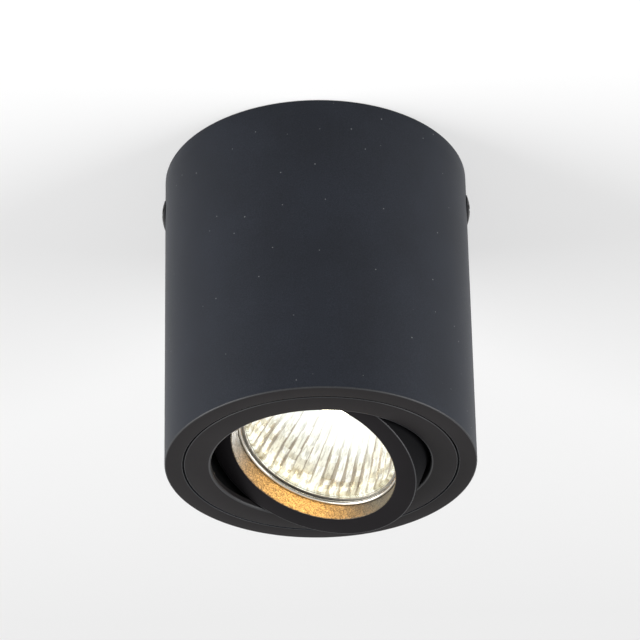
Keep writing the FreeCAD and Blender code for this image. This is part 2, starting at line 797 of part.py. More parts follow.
def make_trim_ring():
    """The flush ring with the aperture, and the collar behind it that carries the hinge."""
    body = new_body("trim_ring")
    section = [
        ("aperture_radius", "flange_top"),
        ("aperture_radius", "bottom + aperture_round", "aperture_round"),
        ("aperture_radius + aperture_round", "bottom"),
        ("trim_radius - edge_break / 2", "bottom"),
        ("trim_radius", "bottom + edge_break / 2"),
        ("trim_radius", "flange_top"),
        ("land_radius", "flange_top"),
        ("land_radius", "shoulder_top"),
        ("collar_radius", "shoulder_top"),
        ("collar_radius", "collar_top"),
        ("collar_bore", "collar_top"),
        ("collar_bore", "flange_top"),
    ]
    revolve(body, "ring", section)
    for side, sign in (("right", ""), ("left", "0 - ")):
        flat = new_sketch(body, f"hinge_flat_{side}_outline", "YZ_Plane", f"{sign}collar_flat")
        draw_circle(flat, "0", "pivot_level", "pivot_head_radius + head_gap")
        pocket(body, f"hinge_flat_{side}", flat, "flat_depth * 2", flipped=side == "right")
    bearings = new_sketch(body, "bearings_outline", "YZ_Plane")
    draw_circle(bearings, "0", "pivot_level", "pivot_radius + pivot_gap")
    pocket(body, "bearings", bearings, both_ways=True)
    lug = new_sketch(body, "stop_lug_outline", "XY_Plane", "shoulder_top + stop_lug_lift")
    half = "stop_lug_width / 2"
    draw_box(lug, f"0 - {half}", "collar_radius - collar_wall / 2", half, "stop_lug_radius")
    pad(body, "stop_lug", lug, "stop_lug_height")
    flat = new_sketch(body, "spring_flat_outline", "XZ_Plane", "collar_flat")
    half = "spring_width / 2 + part_gap * 2"
    draw_box(flat, f"0 - ({half})", "collar_top - spring_root - spring_margin * 2",
             half, "collar_top")
    seat = pocket(body, "spring_flat", flat, "flat_depth * 2", flipped=True)
    hole = new_sketch(body, "rivet_hole_outline", "XZ_Plane", "collar_radius")
    draw_circle(hole, "0", "rivet_level", "rivet_radius + thread_gap")
    drilled = pocket(body, "rivet_hole", hole, "collar_wall * 1.5")
    repeat_round(body, "spring_seats", [seat, drilled], "spring_count")
    return place_in_trim(body)


def spring_azimuths():
    """Where the leaf springs stand round the collar, from the hinge's direction."""
    count = round(number("spring_count"))
    return [(index + 1, f"{index} * 360 / spring_count - 90") for index in range(count)]


def make_retaining_spring(index, azimuth):
    """A leaf riveted to the collar, whose toe stands on the housing's shoulder."""
    body = new_body(f"retaining_spring_{index}")
    root_top = "collar_top - spring_margin"
    root_end = "collar_top - spring_margin - spring_root"
    knee = "shoulder_top + spring_knee_lift"
    toe = "shoulder_top + part_gap"
    inner = "spring_knee_radius - spring_thickness"
    profile = [
        ("collar_flat", root_top),
        ("collar_flat", root_end),
        (inner, knee),
        (f"{inner} - spring_toe", toe),
        ("spring_knee_radius - spring_toe", toe),
        ("spring_knee_radius", knee),
        ("collar_flat + spring_thickness", root_end),
        ("collar_flat + spring_thickness", root_top),
    ]
    outline = draw_outline(new_sketch(body, "leaf_outline", "XZ_Plane"), profile)
    pad(body, "leaf", outline, "spring_width", both_ways=True)
    hole = new_sketch(body, "rivet_hole_outline", "YZ_Plane", "collar_flat + spring_thickness")
    draw_circle(hole, "0", "rivet_level", "rivet_radius + thread_gap")
    pocket(body, "rivet_hole", hole)
    return place(body, yaw=f"hinge_azimuth + {azimuth}")


def make_rivets():
    """One rivet through each leaf spring and the collar."""
    rivets = []
    leaf_face = "collar_flat + spring_thickness"
    tail_face = "sqrt(collar_bore^2 - rivet_tail_radius^2) - thread_gap"
    for index, azimuth in spring_azimuths():
        name = f"rivet_{index}"
        rivet = join(name, [
            rod(f"{name}_shank", "rivet_radius", f"{leaf_face} - ({tail_face})",
                tail_face, "0", "rivet_level", "X"),
            rod(f"{name}_head", "rivet_head_radius", "rivet_head_height",
                leaf_face, "0", "rivet_level", "X"),
            rod(f"{name}_tail", "rivet_tail_radius", "rivet_tail_height",
                f"{tail_face} - rivet_tail_height", "0", "rivet_level", "X"),
        ])
        rivets.append(place(rivet, yaw=f"hinge_azimuth + {azimuth}"))
    return group("spring_rivets", rivets)


# Pieces that tilt. They are drawn about the hinge, which lies along X through the origin, with
# the lamp's axis along Z and its front down.


def make_lamp_ring():
    """The tilting ring: face, outer wall, and an inner sleeve with the lamp's ledge."""
    body = new_body("lamp_ring")
    clip_room = "clip_wire_radius + part_gap"
    section = [
        ("lamp_ring_bore", "ring_front + edge_break"),
        ("lamp_ring_bore + edge_break", "ring_front"),
        ("lamp_ring_radius - edge_break", "ring_front"),
        ("lamp_ring_radius", "ring_front + edge_break"),
        ("lamp_ring_radius", "lamp_ring_back"),
        ("ring_inner_wall", "lamp_ring_back"),
        ("ring_inner_wall", "ring_face_back"),
        ("sleeve_radius", "ring_face_back"),
        ("sleeve_radius", "ledge_front + ledge_thickness"),
        ("ledge_radius", "ledge_front + ledge_thickness"),
        ("ledge_radius", "ledge_front"),
        ("lamp_ring_bore", "ledge_front"),
        ("lamp_ring_bore", f"clip_level + {clip_room}"),
        ("lamp_ring_bore + clip_seat", f"clip_level + {clip_room}"),
        ("lamp_ring_bore + clip_seat", f"clip_level - ({clip_room})"),
        ("lamp_ring_bore", f"clip_level - ({clip_room})"),
    ]
    revolve(body, "ring", section)
    base = "ring_inner_wall + lamp_ring_wall / 2"
    for side, sign in (("right", ""), ("left", "0 - ")):
        boss = new_sketch(body, f"boss_{side}_outline", "YZ_Plane", f"{sign}({base})")
        draw_circle(boss, "0", "0", "boss_radius")
        pad(body, f"boss_{side}", boss, f"boss_reach - ({base})", flipped=side == "left")
        hole = new_sketch(body, f"thread_{side}_outline", "YZ_Plane", f"{sign}boss_reach")
        draw_circle(hole, "0", "0", "pivot_thread_radius + thread_gap")
        depth = "boss_reach - ring_inner_wall + lamp_ring_wall / 4"
        pocket(body, f"thread_{side}", hole, depth, flipped=side == "left")
    return place_in_head(body)


def make_pivot_screw(label, yaw):
    """A shoulder screw, drawn along X: thread in the boss, shoulder in the collar's bearing."""
    body = new_body(label)
    head = "collar_flat + part_gap"
    profile = [
        ("ring_inner_wall", "0"),
        (f"{head} + pivot_head_height", "0"),
        (f"{head} + pivot_head_height", "pivot_head_radius"),
        (head, "pivot_head_radius"),
        (head, "pivot_radius"),
        ("boss_reach", "pivot_radius"),
        ("boss_reach", "pivot_thread_radius"),
        ("ring_inner_wall", "pivot_thread_radius"),
    ]
    revolve(body, "turned", profile, "H_Axis")
    slot = new_sketch(body, "slot_outline", "YZ_Plane", f"{head} + pivot_head_height")
    half = "pivot_slot_width / 2"
    draw_box(slot, "0 - pivot_head_radius", f"0 - {half}", "pivot_head_radius", half)
    pocket(body, "slot", slot, "pivot_slot_depth")
    return place_in_head(body, yaw)


def make_pivot_washers():
    """The friction washers between the bosses and the collar."""
    washers = []
    hole = "pivot_radius + part_gap"
    for side, start in (("right", "boss_reach"), ("left", "0 - boss_reach - washer_thickness")):
        disc = rod(f"{side}_disc", "washer_radius", "washer_thickness", start, axis="X")
        bore = rod(f"{side}_hole", hole, "washer_thickness", start, axis="X")
        washers.append(cut(f"washer_{side}", disc, [bore]))
    return place_in_head(group("pivot_washers", washers))


def make_lamp_clip():
    """The wire clip in front of the lamp, open by a small gap."""
    wire = doc.addObject("Part::Torus", "lamp_clip_wire")
    bind(wire, "Radius1", "clip_radius")
    bind(wire, "Radius2", "clip_wire_radius")
    bind(wire, "Angle3", "360 - clip_gap_angle")
    place(wire, up="clip_level", yaw="clip_gap_place + clip_gap_angle / 2")
    clip = group("lamp_clip", [wire])
    return place_in_head(clip)


def make_lamp():
    """The reflector lamp: mirrored bowl, front glass, capsule, filament, ceramic base and pins."""
    bowl = new_body("lamp_reflector")
    bowl_section = [
        ("cover_glass_radius + part_gap", "glass_front"),
        ("lamp_radius", "glass_front"),
        ("lamp_radius", "rim_back"),
        ("lamp_shoulder_radius", "rim_back", "lamp_curve_radius"),
        ("neck_radius", "glass_front + neck_start"),
        ("neck_radius", "glass_front + neck_end"),
        ("neck_bore", "glass_front + neck_end"),
        ("neck_bore", "glass_front + vertex_depth", "0 - lamp_curve_radius"),
        ("mirror_radius", "glass_back + part_gap"),
        ("cover_glass_radius + part_gap", "glass_back + part_gap"),
    ]
    revolve(bowl, "bowl", bowl_section)
    disc = rod("cover_disc", "cover_glass_radius", "cover_glass_thickness", up="glass_front")
    capsule = new_body("lamp_burner")
    dome = "glass_front + capsule_front"
    shoulder = f"{dome} + capsule_dome"
    capsule_section = [
        ("0", dome, "capsule_dome"),
        ("capsule_radius", shoulder),
        ("capsule_radius", "capsule_seat - capsule_wall * 2"),
        ("capsule_seat_radius", "capsule_seat"),
        ("capsule_seat_radius", "capsule_end"),
        ("0", "capsule_end"),
        ("0", "capsule_seat - capsule_wall * 2"),
        ("capsule_radius - capsule_wall", "capsule_seat - capsule_wall * 2"),
        ("capsule_radius - capsule_wall", shoulder, "capsule_wall - capsule_dome"),
        ("0", f"{dome} + capsule_wall"),
    ]
    revolve(capsule, "tube", capsule_section)
    level = "glass_front + filament_depth"
    leg = f"capsule_seat - capsule_wall * 2 - ({level})"
    legs = [
        rod(f"filament_leg_{side}", "filament_leg_radius", leg, across, "0", level)
        for side, across in (("left", "0 - filament_half_span"), ("right", "filament_half_span"))
    ]
    coil = rod("filament_coil", "filament_radius", "filament_half_span * 2",
               "0 - filament_half_span", "0", level, "X")
    filament = join("lamp_filament", [coil, *legs])
    base = new_body("lamp_base")
    base_section = [
        ("capsule_seat_radius + part_gap", "stub_start"),
        ("neck_bore - part_gap", "stub_start"),
        ("neck_bore - part_gap", "cup_floor"),
        ("neck_radius + part_gap", "cup_floor"),
        ("neck_radius + part_gap", "cup_floor - cup_depth"),
        ("base_radius", "cup_floor - cup_depth"),
        ("base_radius", "lamp_end - base_taper * 3"),
        ("base_radius - base_taper", "lamp_end"),
        ("0", "lamp_end"),
        ("0", "capsule_end + part_gap"),
        ("capsule_seat_radius + part_gap", "capsule_end + part_gap"),
    ]
    revolve(base, "base", base_section)
    shanks = new_sketch(base, "shanks_outline", "XY_Plane", "lamp_end")
    for sign in ("", "0 - "):
        draw_circle(shanks, f"{sign}pin_place", "0", "pin_neck_radius + thread_gap")
    pocket(base, "shanks", shanks, "pin_shank_length")
    pins = []
    for side, sign in (("left", "0 - "), ("right", "")):
        name = f"pin_{side}"
        neck = rod(f"{name}_neck", "pin_neck_radius", "pin_shank_length + pin_neck_length",
                   f"{sign}pin_place", "0", "lamp_end - pin_shank_length")
        head = rod(f"{name}_head", "pin_head_radius", "pin_head_length",
                   f"{sign}pin_place", "0", "lamp_end + pin_neck_length")
        pins.append(join(name, [neck, head]))
    pieces = [bowl, group("lamp_cover_glass", [disc]), capsule, filament, base,
              group("lamp_pins", pins)]
    return [place_in_head(piece) for piece in pieces]


def make_lampholder():
    """The ceramic holder that is twisted on to the lamp's pins, with its cap and contacts."""
    body = new_body("lampholder_body")
    round_face = new_sketch(body, "holder_outline", "XY_Plane", "holder_front")
    draw_circle(round_face, "0", "0", "holder_radius")
    pad(body, "holder", round_face, "holder_length")
    # A pin goes in at the round end of its keyhole and is turned to the narrow end.
    start = ("pin_place * cos(twist_angle)", "pin_place * sin(twist_angle)")
    for side, sign in (("right", ""), ("left", "0 - ")):
        seat = (f"{sign}pin_place", "0")
        entry = tuple(f"{sign}({text})" for text in start)
        for name, place_of, radius in (("keyslot", seat, "keyslot_radius"),
                                       ("keyhole", entry, "keyhole_radius")):
            hole = new_sketch(body, f"{name}_{side}_outline", "XY_Plane", "holder_front")
            draw_circle(hole, *place_of, radius)
            pocket(body, f"{name}_{side}", hole, "holder_plate", flipped=True)
        for name, place_of in (("chamber", seat), ("entry_chamber", entry)):
            hole = new_sketch(body, f"{name}_{side}_outline", "XY_Plane", "holder_back")
            draw_circle(hole, *place_of, "chamber_radius")
            pocket(body, f"{name}_{side}", hole, "holder_length - holder_plate")
    threads = new_sketch(body, "threads_outline", "XY_Plane", "holder_back")
    cap = new_body("lampholder_cap")
    cap_face = new_sketch(cap, "cap_outline", "XY_Plane", "holder_back")
    draw_circle(cap_face, "0", "0", "holder_radius")
    pad(cap, "cap", cap_face, "holder_cap")
    lead_holes = new_sketch(cap, "holes_outline", "XY_Plane", "holder_top")
    sinks = new_sketch(cap, "sinks_outline", "XY_Plane", "holder_top")
    screws = []
    contacts = []
    head_seat = "holder_top - holder_head_height - part_gap * 2"
    for side, sign in (("left", "0 - "), ("right", "")):
        across = f"{sign}holder_screw_place"
        draw_circle(threads, "0", across, "holder_thread_radius + thread_gap")
        draw_circle(lead_holes, "0", across, "holder_thread_radius + part_gap * 2")
        draw_circle(lead_holes, f"{sign}pin_place", "0", "lead_hole_radius")
        draw_circle(sinks, "0", across, "holder_head_radius + part_gap * 2")
        name = f"holder_screw_{side}"
        thread_start = "holder_back - holder_thread_depth"
        turned = join(f"{name}_turned", [
            rod(f"{name}_thread", "holder_thread_radius", f"{head_seat} - ({thread_start})",
                "0", across, thread_start),
            rod(f"{name}_head", "holder_head_radius", "holder_head_height", "0", across,
                head_seat),
        ])
        slot_low = ("0 - holder_head_radius", f"{across} - holder_slot_width / 2",
                    f"{head_seat} + holder_head_height / 2")
        slot_size = ("holder_head_radius * 2", "holder_slot_width", "holder_head_height")
        slot = bar(f"{name}_slot", slot_low, slot_size)
        screws.append(cut(name, turned, [slot]))
        name = f"contact_{side}"
        stem_start = "pin_tip + part_gap"
        contacts.append(join(name, [
            rod(f"{name}_stem", "contact_stem_radius", f"contact_seat - ({stem_start})",
                f"{sign}pin_place", "0", stem_start),
            rod(f"{name}_disc", "contact_disc_radius", "contact_disc_thickness",
                f"{sign}pin_place", "0", "contact_seat"),
        ]))
    pocket(body, "threads", threads, "holder_thread_depth + part_gap * 10")
    pocket(cap, "holes", lead_holes)
    pocket(cap, "sinks", sinks, "holder_head_height + part_gap * 2")
    pieces = [body, cap, group("lampholder_contacts", contacts),
              group("lampholder_screws", screws)]
    return [place_in_head(piece) for piece in pieces]


# Leads, along routes whose points are chosen by hand between the pieces that hold their ends.


def head_point(across, along, up):
    """A point of the lamp head, as the model stands."""
    turn = FreeCAD.Rotation(number("hinge_azimuth"), 0, number("tilt_rest"))
    base = FreeCAD.Vector(0, 0, number("pivot_level"))
    return turn.multVec(FreeCAD.Vector(across, along, up)) + base


def swivel_point(hinge_side, outward, level):
    """A point by its distances along the hinge and away from the lamp's facing side."""
    turn = FreeCAD.Rotation(number("stop_rib_azimuth"), 0, 0)
    return turn.multVec(FreeCAD.Vector(outward, hinge_side, 0)) + FreeCAD.Vector(0, 0, level)


def lamp_lead(label, pole, side):
    """A lead from a terminal, looped back below the block, past the vertical axis to its pin."""
    across = number(pole)
    level = number("clamp_height")
    start = number("clamp_screw_place") - number("lead_grip")
    step = number("lead_step")
    slant = step * math.sqrt(0.5)
    below = level - step - 2 * slant
    pin = side * number("pin_place")
    end = number("holder_back")
    route = [
        FreeCAD.Vector(across, -start, level),
        FreeCAD.Vector(across, -start - step, level),
        FreeCAD.Vector(across * 0.94, -start - step - slant, level - slant),
        FreeCAD.Vector(across * 0.84, -start - step - slant, level - slant - step),
        FreeCAD.Vector(across * 0.67, -start - step, below),
        swivel_point(side * 1.6, 0.0, below - 0.1),
        swivel_point(side * 2.6, 11.0, below - 1.2),
        head_point(side * 4.0, 6.4, end + 10.9),
        head_point(pin, 0.0, end + 7.2),
        head_point(pin, 0.0, end),
    ]
    return tube(label, route, number("lead_radius"))


def earth_lead():
    """The short lead from the earth terminal to the ring terminal on the strap."""
    across = number("pole_pitch")
    level = number("clamp_height")
    start = number("clamp_screw_place") - number("lead_grip")
    crimp = number("earth_place")
    crimp_level = number("crimp_height")
    inside = number("tongue_length") + number("part_gap")
    reach = (crimp - across) / 2
    turn = start + 8.0
    route = [
        FreeCAD.Vector(across, -start, level),
        FreeCAD.Vector(across, -turn, level),
        FreeCAD.Vector(across + reach, -turn - reach / math.sqrt(3.0), level + 1.5),
        FreeCAD.Vector(crimp, -turn, crimp_level),
        FreeCAD.Vector(crimp, -inside, crimp_level),
    ]
    return tube("earth_lead", route, number("lead_radius"))


PIECES = [
    make_housing(),
    make_bracket(),
    make_side_screw("side_screw_left", "left", "0"),
    make_side_screw("side_screw_right", "right", "15"),
    make_cable_bush(),
    make_terminal_block(),
    *make_terminal_parts(),
    *make_earth_point(),
    lamp_lead("live_lead", "0", -1),
    lamp_lead("neutral_lead", "0 - pole_pitch", 1),
    earth_lead(),
    make_trim_ring(),
    *[make_retaining_spring(index, azimuth) for index, azimuth in spring_azimuths()],
    make_rivets(),
    make_lamp_ring(),
    make_pivot_screw("pivot_screw_right", "0"),
    make_pivot_screw("pivot_screw_left", "180"),
    make_pivot_washers(),
    make_lamp_clip(),
    *make_lamp(),
    *make_lampholder(),
]

doc.recompute()
for thing in doc.Objects:
    if {"Invalid", "Error"} & set(thing.State):
        raise RuntimeError(f"{thing.Label} failed: {thing.State}")
for piece in PIECES:
    if piece.Shape.isNull() or not piece.Shape.isValid() or piece.Shape.Volume <= 0:
        raise RuntimeError(f"{piece.Label} has no valid shape")

os.makedirs("parts", exist_ok=True)
for piece in PIECES:
    piece.Shape.exportStep(f"parts/{piece.Label}.step")
print(f"{len(PIECES)} pieces written")
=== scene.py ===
"""The surface mounted ceiling spotlight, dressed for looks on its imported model.

Every size in the classes is in millimetres, in the frame of the model: the ceiling is at z = 0
and the lamp hangs below it. Meshes are scaled to metres where they are placed.
"""

import logging
import math
from dataclasses import dataclass
from enum import Enum
from typing import Any, Iterable, Mapping, Sequence

import bmesh
import bpy
from mathutils import Matrix, Vector

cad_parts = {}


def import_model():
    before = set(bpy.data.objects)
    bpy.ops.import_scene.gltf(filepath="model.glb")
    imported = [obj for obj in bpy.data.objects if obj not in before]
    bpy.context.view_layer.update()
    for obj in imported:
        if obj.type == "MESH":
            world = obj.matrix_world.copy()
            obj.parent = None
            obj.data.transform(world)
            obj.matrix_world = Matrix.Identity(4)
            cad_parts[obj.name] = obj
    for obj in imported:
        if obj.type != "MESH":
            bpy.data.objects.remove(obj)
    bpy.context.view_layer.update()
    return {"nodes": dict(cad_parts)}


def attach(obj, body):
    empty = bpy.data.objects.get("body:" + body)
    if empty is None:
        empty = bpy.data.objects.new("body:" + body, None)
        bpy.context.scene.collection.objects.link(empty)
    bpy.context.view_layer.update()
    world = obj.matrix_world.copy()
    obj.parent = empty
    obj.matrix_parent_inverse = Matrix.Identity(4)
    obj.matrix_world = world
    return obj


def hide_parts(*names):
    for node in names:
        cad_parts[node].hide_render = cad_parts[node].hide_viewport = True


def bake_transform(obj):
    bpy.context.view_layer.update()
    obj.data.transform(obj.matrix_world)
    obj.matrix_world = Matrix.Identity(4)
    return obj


Mesh = bmesh.types.BMesh
Tree = bpy.types.NodeTree
Socket = bpy.types.NodeSocket
Inputs = dict[int | str, Any]

LOG = logging.getLogger("ceiling_spotlight")
MM = 0.001
SHARP = math.radians(32.0)
ORIGIN = (0.0, 0.0, 0.0)
UPWARDS = (0.0, 0.0, 1.0)

# How near counts as one place, in metres: to match a corner, to merge and to drop slivers.
NEAR = 2e-6
MERGED = 1e-6
SLIVER = 1e-7
# How many faces go round the large turned pieces.
FINE_STEPS = 256
# How far a cutter stands past what it cuts.
PAST = 1.0
# How far the middle of a face may lie from the surface that it belongs to.
SLACK = 0.1

# The direction of the tilt hinge, the height of its axis and the tilt as it hangs.
HINGE_AZIMUTH = 124.17
PIVOT_LEVEL = -91.95
TILT = 22.72


class Body(Enum):
    """The bodies that move against each other."""

    HOUSING = "housing_body"
    TRIM = "trim_body"
    HEAD = "head_body"


class Marks(Enum):
    """What working or plating leaves on a metal surface."""

    SPANGLE = "spangle"
    DRAWN = "drawn"
    BLASTED = "blasted"


# Shapes.


def trim_frame() -> Matrix:
    """The frame of the trim ring: the hinge lies along its X axis."""
    return Matrix.Rotation(math.radians(HINGE_AZIMUTH), 4, "Z")


def head_frame() -> Matrix:
    """The frame of the tilting lamp: hinge along X, lamp axis along Z, front downwards."""
    lift = Matrix.Translation((0.0, 0.0, PIVOT_LEVEL * MM))
    return lift @ trim_frame() @ Matrix.Rotation(math.radians(TILT), 4, "X")


@dataclass(frozen=True)
class Corner:
    """A corner of a turned section.

    Attributes:
        radius: Distance from the turning axis.
        height: Height along the axis.
        rounding: How far the edge is rounded, or 0 for a crisp one.
    """

    radius: float
    height: float
    rounding: float = 0.0

    def holds(self, vertex: bmesh.types.BMVert) -> bool:
        """Tells whether a vertex stands on the circle that this corner makes."""
        away = math.hypot(vertex.co.x, vertex.co.y) - self.radius * MM
        return abs(away) < NEAR and abs(vertex.co.z - self.height * MM) < NEAR


def arc_corners(start: Corner, end: Corner, radius: float, count: int) -> list[Corner]:
    """Corners on an arc between two corners that bulges away from the axis.

    Args:
        start: The first corner, which is in the answer.
        end: The last corner, which is in the answer.
        radius: The radius of the arc.
        count: How many runs the arc has.

    Returns:
        The corners in order, one more than the runs.
    """
    first = Vector((start.radius, start.height))
    last = Vector((end.radius, end.height))
    chord = last - first
    outward = Vector((abs(chord.y), abs(chord.x))).normalized()
    drop = math.sqrt(radius**2 - (chord.length / 2) ** 2)
    centre = (first + last) / 2 - outward * drop
    corners = []
    for step in range(count + 1):
        along = first.lerp(last, step / count) - centre
        point = centre + along.normalized() * radius
        corners.append(Corner(point.x, point.y))
    return corners


def spin_round(mesh: Mesh, geom: Sequence[Any], steps: int) -> None:
    """Turns vertices and edges once about the Z axis.

    Args:
        mesh: Their mesh.
        geom: What is turned.
        steps: How many faces go round.
    """
    bmesh.ops.spin(
        mesh, geom=geom, cent=ORIGIN, axis=UPWARDS, dvec=ORIGIN, angle=math.tau,
        steps=steps, use_merge=True,
    )


def round_edges(
    mesh: Mesh, edges: Sequence[bmesh.types.BMEdge], reach: float, segments: int
) -> list[bmesh.types.BMFace]:
    """Rounds edges.

    Args:
        mesh: Their mesh.
        edges: The edges.
        reach: How far they are rounded.
        segments: How many faces go across the rounding.

    Returns:
        The new faces.
    """
    return bmesh.ops.bevel(
        mesh, geom=edges, offset=reach * MM, offset_type="OFFSET", affect="EDGES",
        segments=segments, profile=0.5, material=-1, clamp_overlap=True,
    )["faces"]


def turn(section: Sequence[Corner], steps: int = 192, edge: int = 0) -> Mesh:
    """Turns a closed section about the Z axis, and rounds the edges that ask for it.

    Args:
        section: The corners of the section, in order.
        steps: How many faces go round.
        edge: The material number of the rounded edges.

    Returns:
        A closed mesh in metres, with its faces outwards.
    """
    mesh = bmesh.new()
    points = [mesh.verts.new((c.radius * MM, 0.0, c.height * MM)) for c in section]
    edges = [mesh.edges.new(pair) for pair in zip(points, points[1:] + points[:1])]
    spin_round(mesh, [*points, *edges], steps)
    bmesh.ops.remove_doubles(mesh, verts=mesh.verts[:], dist=MERGED)
    bmesh.ops.dissolve_degenerate(mesh, dist=SLIVER, edges=mesh.edges[:])
    stray = [line for line in mesh.edges if not line.link_faces]
    bmesh.ops.delete(mesh, geom=stray, context="EDGES")
    bmesh.ops.recalc_face_normals(mesh, faces=mesh.faces[:])
    for corner in section:
        if corner.rounding:
            ring = [line for line in mesh.edges if all(map(corner.holds, line.verts))]
            for face in round_edges(mesh, ring, corner.rounding, segments=4):
                face.material_index = edge
    return mesh


def face_place(face: bmesh.types.BMFace) -> tuple[float, float]:
    """Tells where a face of a turned mesh lies.

    Args:
        face: The face.

    Returns:
        Its distance from the axis and its height.
    """
    middle = face.calc_center_median()
    return math.hypot(middle.x, middle.y) / MM, middle.z / MM


def close_ends(mesh: Mesh) -> None:
    """Closes the open ends of a swept tube, and turns its faces outwards.

    Args:
        mesh: The tube.
    """
    rims = [edge for edge in mesh.edges if edge.is_boundary]
    bmesh.ops.holes_fill(mesh, edges=rims, sides=0)
    bmesh.ops.recalc_face_normals(mesh, faces=mesh.faces[:])


def rod(radius: float, start: float, end: float, level: float = 0.0) -> Mesh:
    """A round bar along X.

    Args:
        radius: Its radius.
        start: Where it begins along X.
        end: Where it ends along X.
        level: Its height along Z.

    Returns:
        The bar as a mesh in metres.
    """
    mesh = bmesh.new()
    middle = Matrix.Translation(((start + end) / 2 * MM, 0.0, level * MM))
    bmesh.ops.create_cone(
        mesh, cap_ends=True, segments=64, radius1=radius * MM, radius2=radius * MM,
        depth=abs(end - start) * MM, matrix=middle @ Matrix.Rotation(math.pi / 2, 4, "Y"),
    )
    return mesh


def bar(low: Vector, high: Vector, rounding: float = 0.0) -> Mesh:
    """A rectangular bar between two corners.

    Args:
        low: The lowest corner.
        high: The highest corner.
        rounding: How far its edges are rounded.

    Returns:
        The bar as a mesh in metres.
    """
    mesh = bmesh.new()
    size = (high - low) * MM
    place = Matrix.Translation((low + high) / 2 * MM)
    scale = Matrix.Diagonal((size.x, size.y, size.z, 1.0))
    bmesh.ops.create_cube(mesh, size=1.0, matrix=place @ scale)
    if rounding:
        round_edges(mesh, mesh.edges[:], rounding, segments=2)
    return mesh


def moved(mesh: Mesh, matrix: Matrix) -> Mesh:
    """Moves a whole mesh and gives it back.

    Args:
        mesh: The mesh.
        matrix: How it moves.

    Returns:
        The same mesh.
    """
    bmesh.ops.transform(mesh, matrix=matrix, verts=mesh.verts[:])
    return mesh


def joined(meshes: Iterable[Mesh]) -> Mesh:
    """Puts several meshes into one.

    Args:
        meshes: The meshes, which are freed.

    Returns:
        One mesh with all of them.
    """
    whole = bmesh.new()
    for mesh in meshes:
        data = bpy.data.meshes.new("joined")
        mesh.to_mesh(data)
        mesh.free()
        whole.from_mesh(data)
        bpy.data.meshes.remove(data)
    return whole


def stand(name: str, mesh: Mesh) -> bpy.types.Object:
    """Makes an object of a mesh, and puts it in the scene at the origin.

    Args:
        name: The object's name.
        mesh: Its mesh in metres, which is freed.

    Returns:
        The object.
    """
    data = bpy.data.meshes.new(name)
    mesh.to_mesh(data)
    mesh.free()
    item = bpy.data.objects.new(name, data)
    bpy.context.scene.collection.objects.link(item)
    return item


def carve(mesh: Mesh, cutters: Iterable[Mesh]) -> Mesh:
    """Cuts shapes out of a closed mesh.

    Args:
        mesh: The mesh to cut, which is freed.
        cutters: Closed meshes that don't overlap each other, which are freed.

    Returns:
        What is left.
    """
    block = stand("carve_block", mesh)
    tool = stand("carve_tool", joined(cutters))
    cut = block.modifiers.new("cut", "BOOLEAN")
    cut.operation = "DIFFERENCE"
    cut.solver = "EXACT"
    cut.object = tool
    bpy.context.view_layer.update()
    shown = block.evaluated_get(bpy.context.evaluated_depsgraph_get())
    data = bpy.data.meshes.new_from_object(shown)
    left = bmesh.new()
    left.from_mesh(data)
    bpy.data.meshes.remove(data)
    for item in (block, tool):
        spare = item.data
        bpy.data.objects.remove(item)
        bpy.data.meshes.remove(spare)
    return left


# Finishes. Every size in them is in millimetres, and every colour is an sRGB hex colour.


def linear(colour: str) -> tuple[float, float, float, float]:
    """Turns an sRGB hex colour into linear light.

    Args:
        colour: Six hex digits.

    Returns:
        Linear red, green, blue and alpha.
    """
    parts = [int(colour[at:at + 2], 16) / 255 for at in (0, 2, 4)]
    red, green, blue = (
        part / 12.92 if part <= 0.04045 else ((part + 0.055) / 1.055) ** 2.4 for part in parts
    )
    return (red, green, blue, 1.0)


def clear_tree(owner: bpy.types.Material | bpy.types.World) -> Tree:
    """Empties the node tree of a material or a world, and gives it back.

    Args:
        owner: The material or world.

    Returns:
        Its empty node tree.
    """
    owner.use_nodes = True
    owner.node_tree.nodes.clear()
    return owner.node_tree


def add_node(
    tree: Tree,
    kind: str,
    inputs: Inputs | None = None,
    stops: Mapping[float, str] | None = None,
    **settings: Any,
) -> bpy.types.Node:
    """Adds a shader node with its settings, its values and its links.

    Args:
        tree: The node tree that gets it.
        kind: The type of node, without the words that all shader nodes begin with.
        inputs: For an input's name or number, its value or the socket that feeds it.
        stops: For a node with a colour ramp, the sRGB hex colour at each place.
        **settings: The node's own properties.

    Returns:
        The new node.
    """
    node = tree.nodes.new(f"ShaderNode{kind}")
    for name, value in settings.items():
        setattr(node, name, value)
    for name, value in (inputs or {}).items():
        if isinstance(value, Socket):
            tree.links.new(value, node.inputs[name])
        else:
            node.inputs[name].default_value = value
    if stops:
        elements = node.color_ramp.elements
        while len(elements) < len(stops):
            elements.new(0.5)
        for element, (place, colour) in zip(elements, sorted(stops.items())):
            element.position, element.color = place, linear(colour)
    return node


@dataclass(frozen=True)
class Finish:
    """What a surface is made of and how it was made.

    Attributes:
        name: The material's common name.
        colour: Its sRGB hex colour.
        roughness: From 0, polished, to 1, dull.
    """

    name: str
    colour: str
    roughness: float

    def material(self) -> bpy.types.Material:
        """Makes the material, or finds it where another piece has made it.

        Returns:
            The material.
        """
        found = bpy.data.materials.get(self.name)
        if found:
            return found
        material = bpy.data.materials.new(self.name)
        tree = clear_tree(material)
        place = add_node(tree, "TexCoord").outputs["Object"]
        plain = {"Base Color": linear(self.colour), "Roughness": self.roughness}
        shader = add_node(tree, "BsdfPrincipled", {**plain, **self.dress(tree, place)})
        add_node(tree, "OutputMaterial", {"Surface": shader.outputs["BSDF"]})
        return material

    def dress(self, tree: Tree, place: Socket) -> Inputs:
        """Makes the patterns of the surface.

        Args:
            tree: The material's node tree.
            place: The socket that gives the place on the piece, in metres.

        Returns:
            The shader's inputs by name.
        """
        raise NotImplementedError


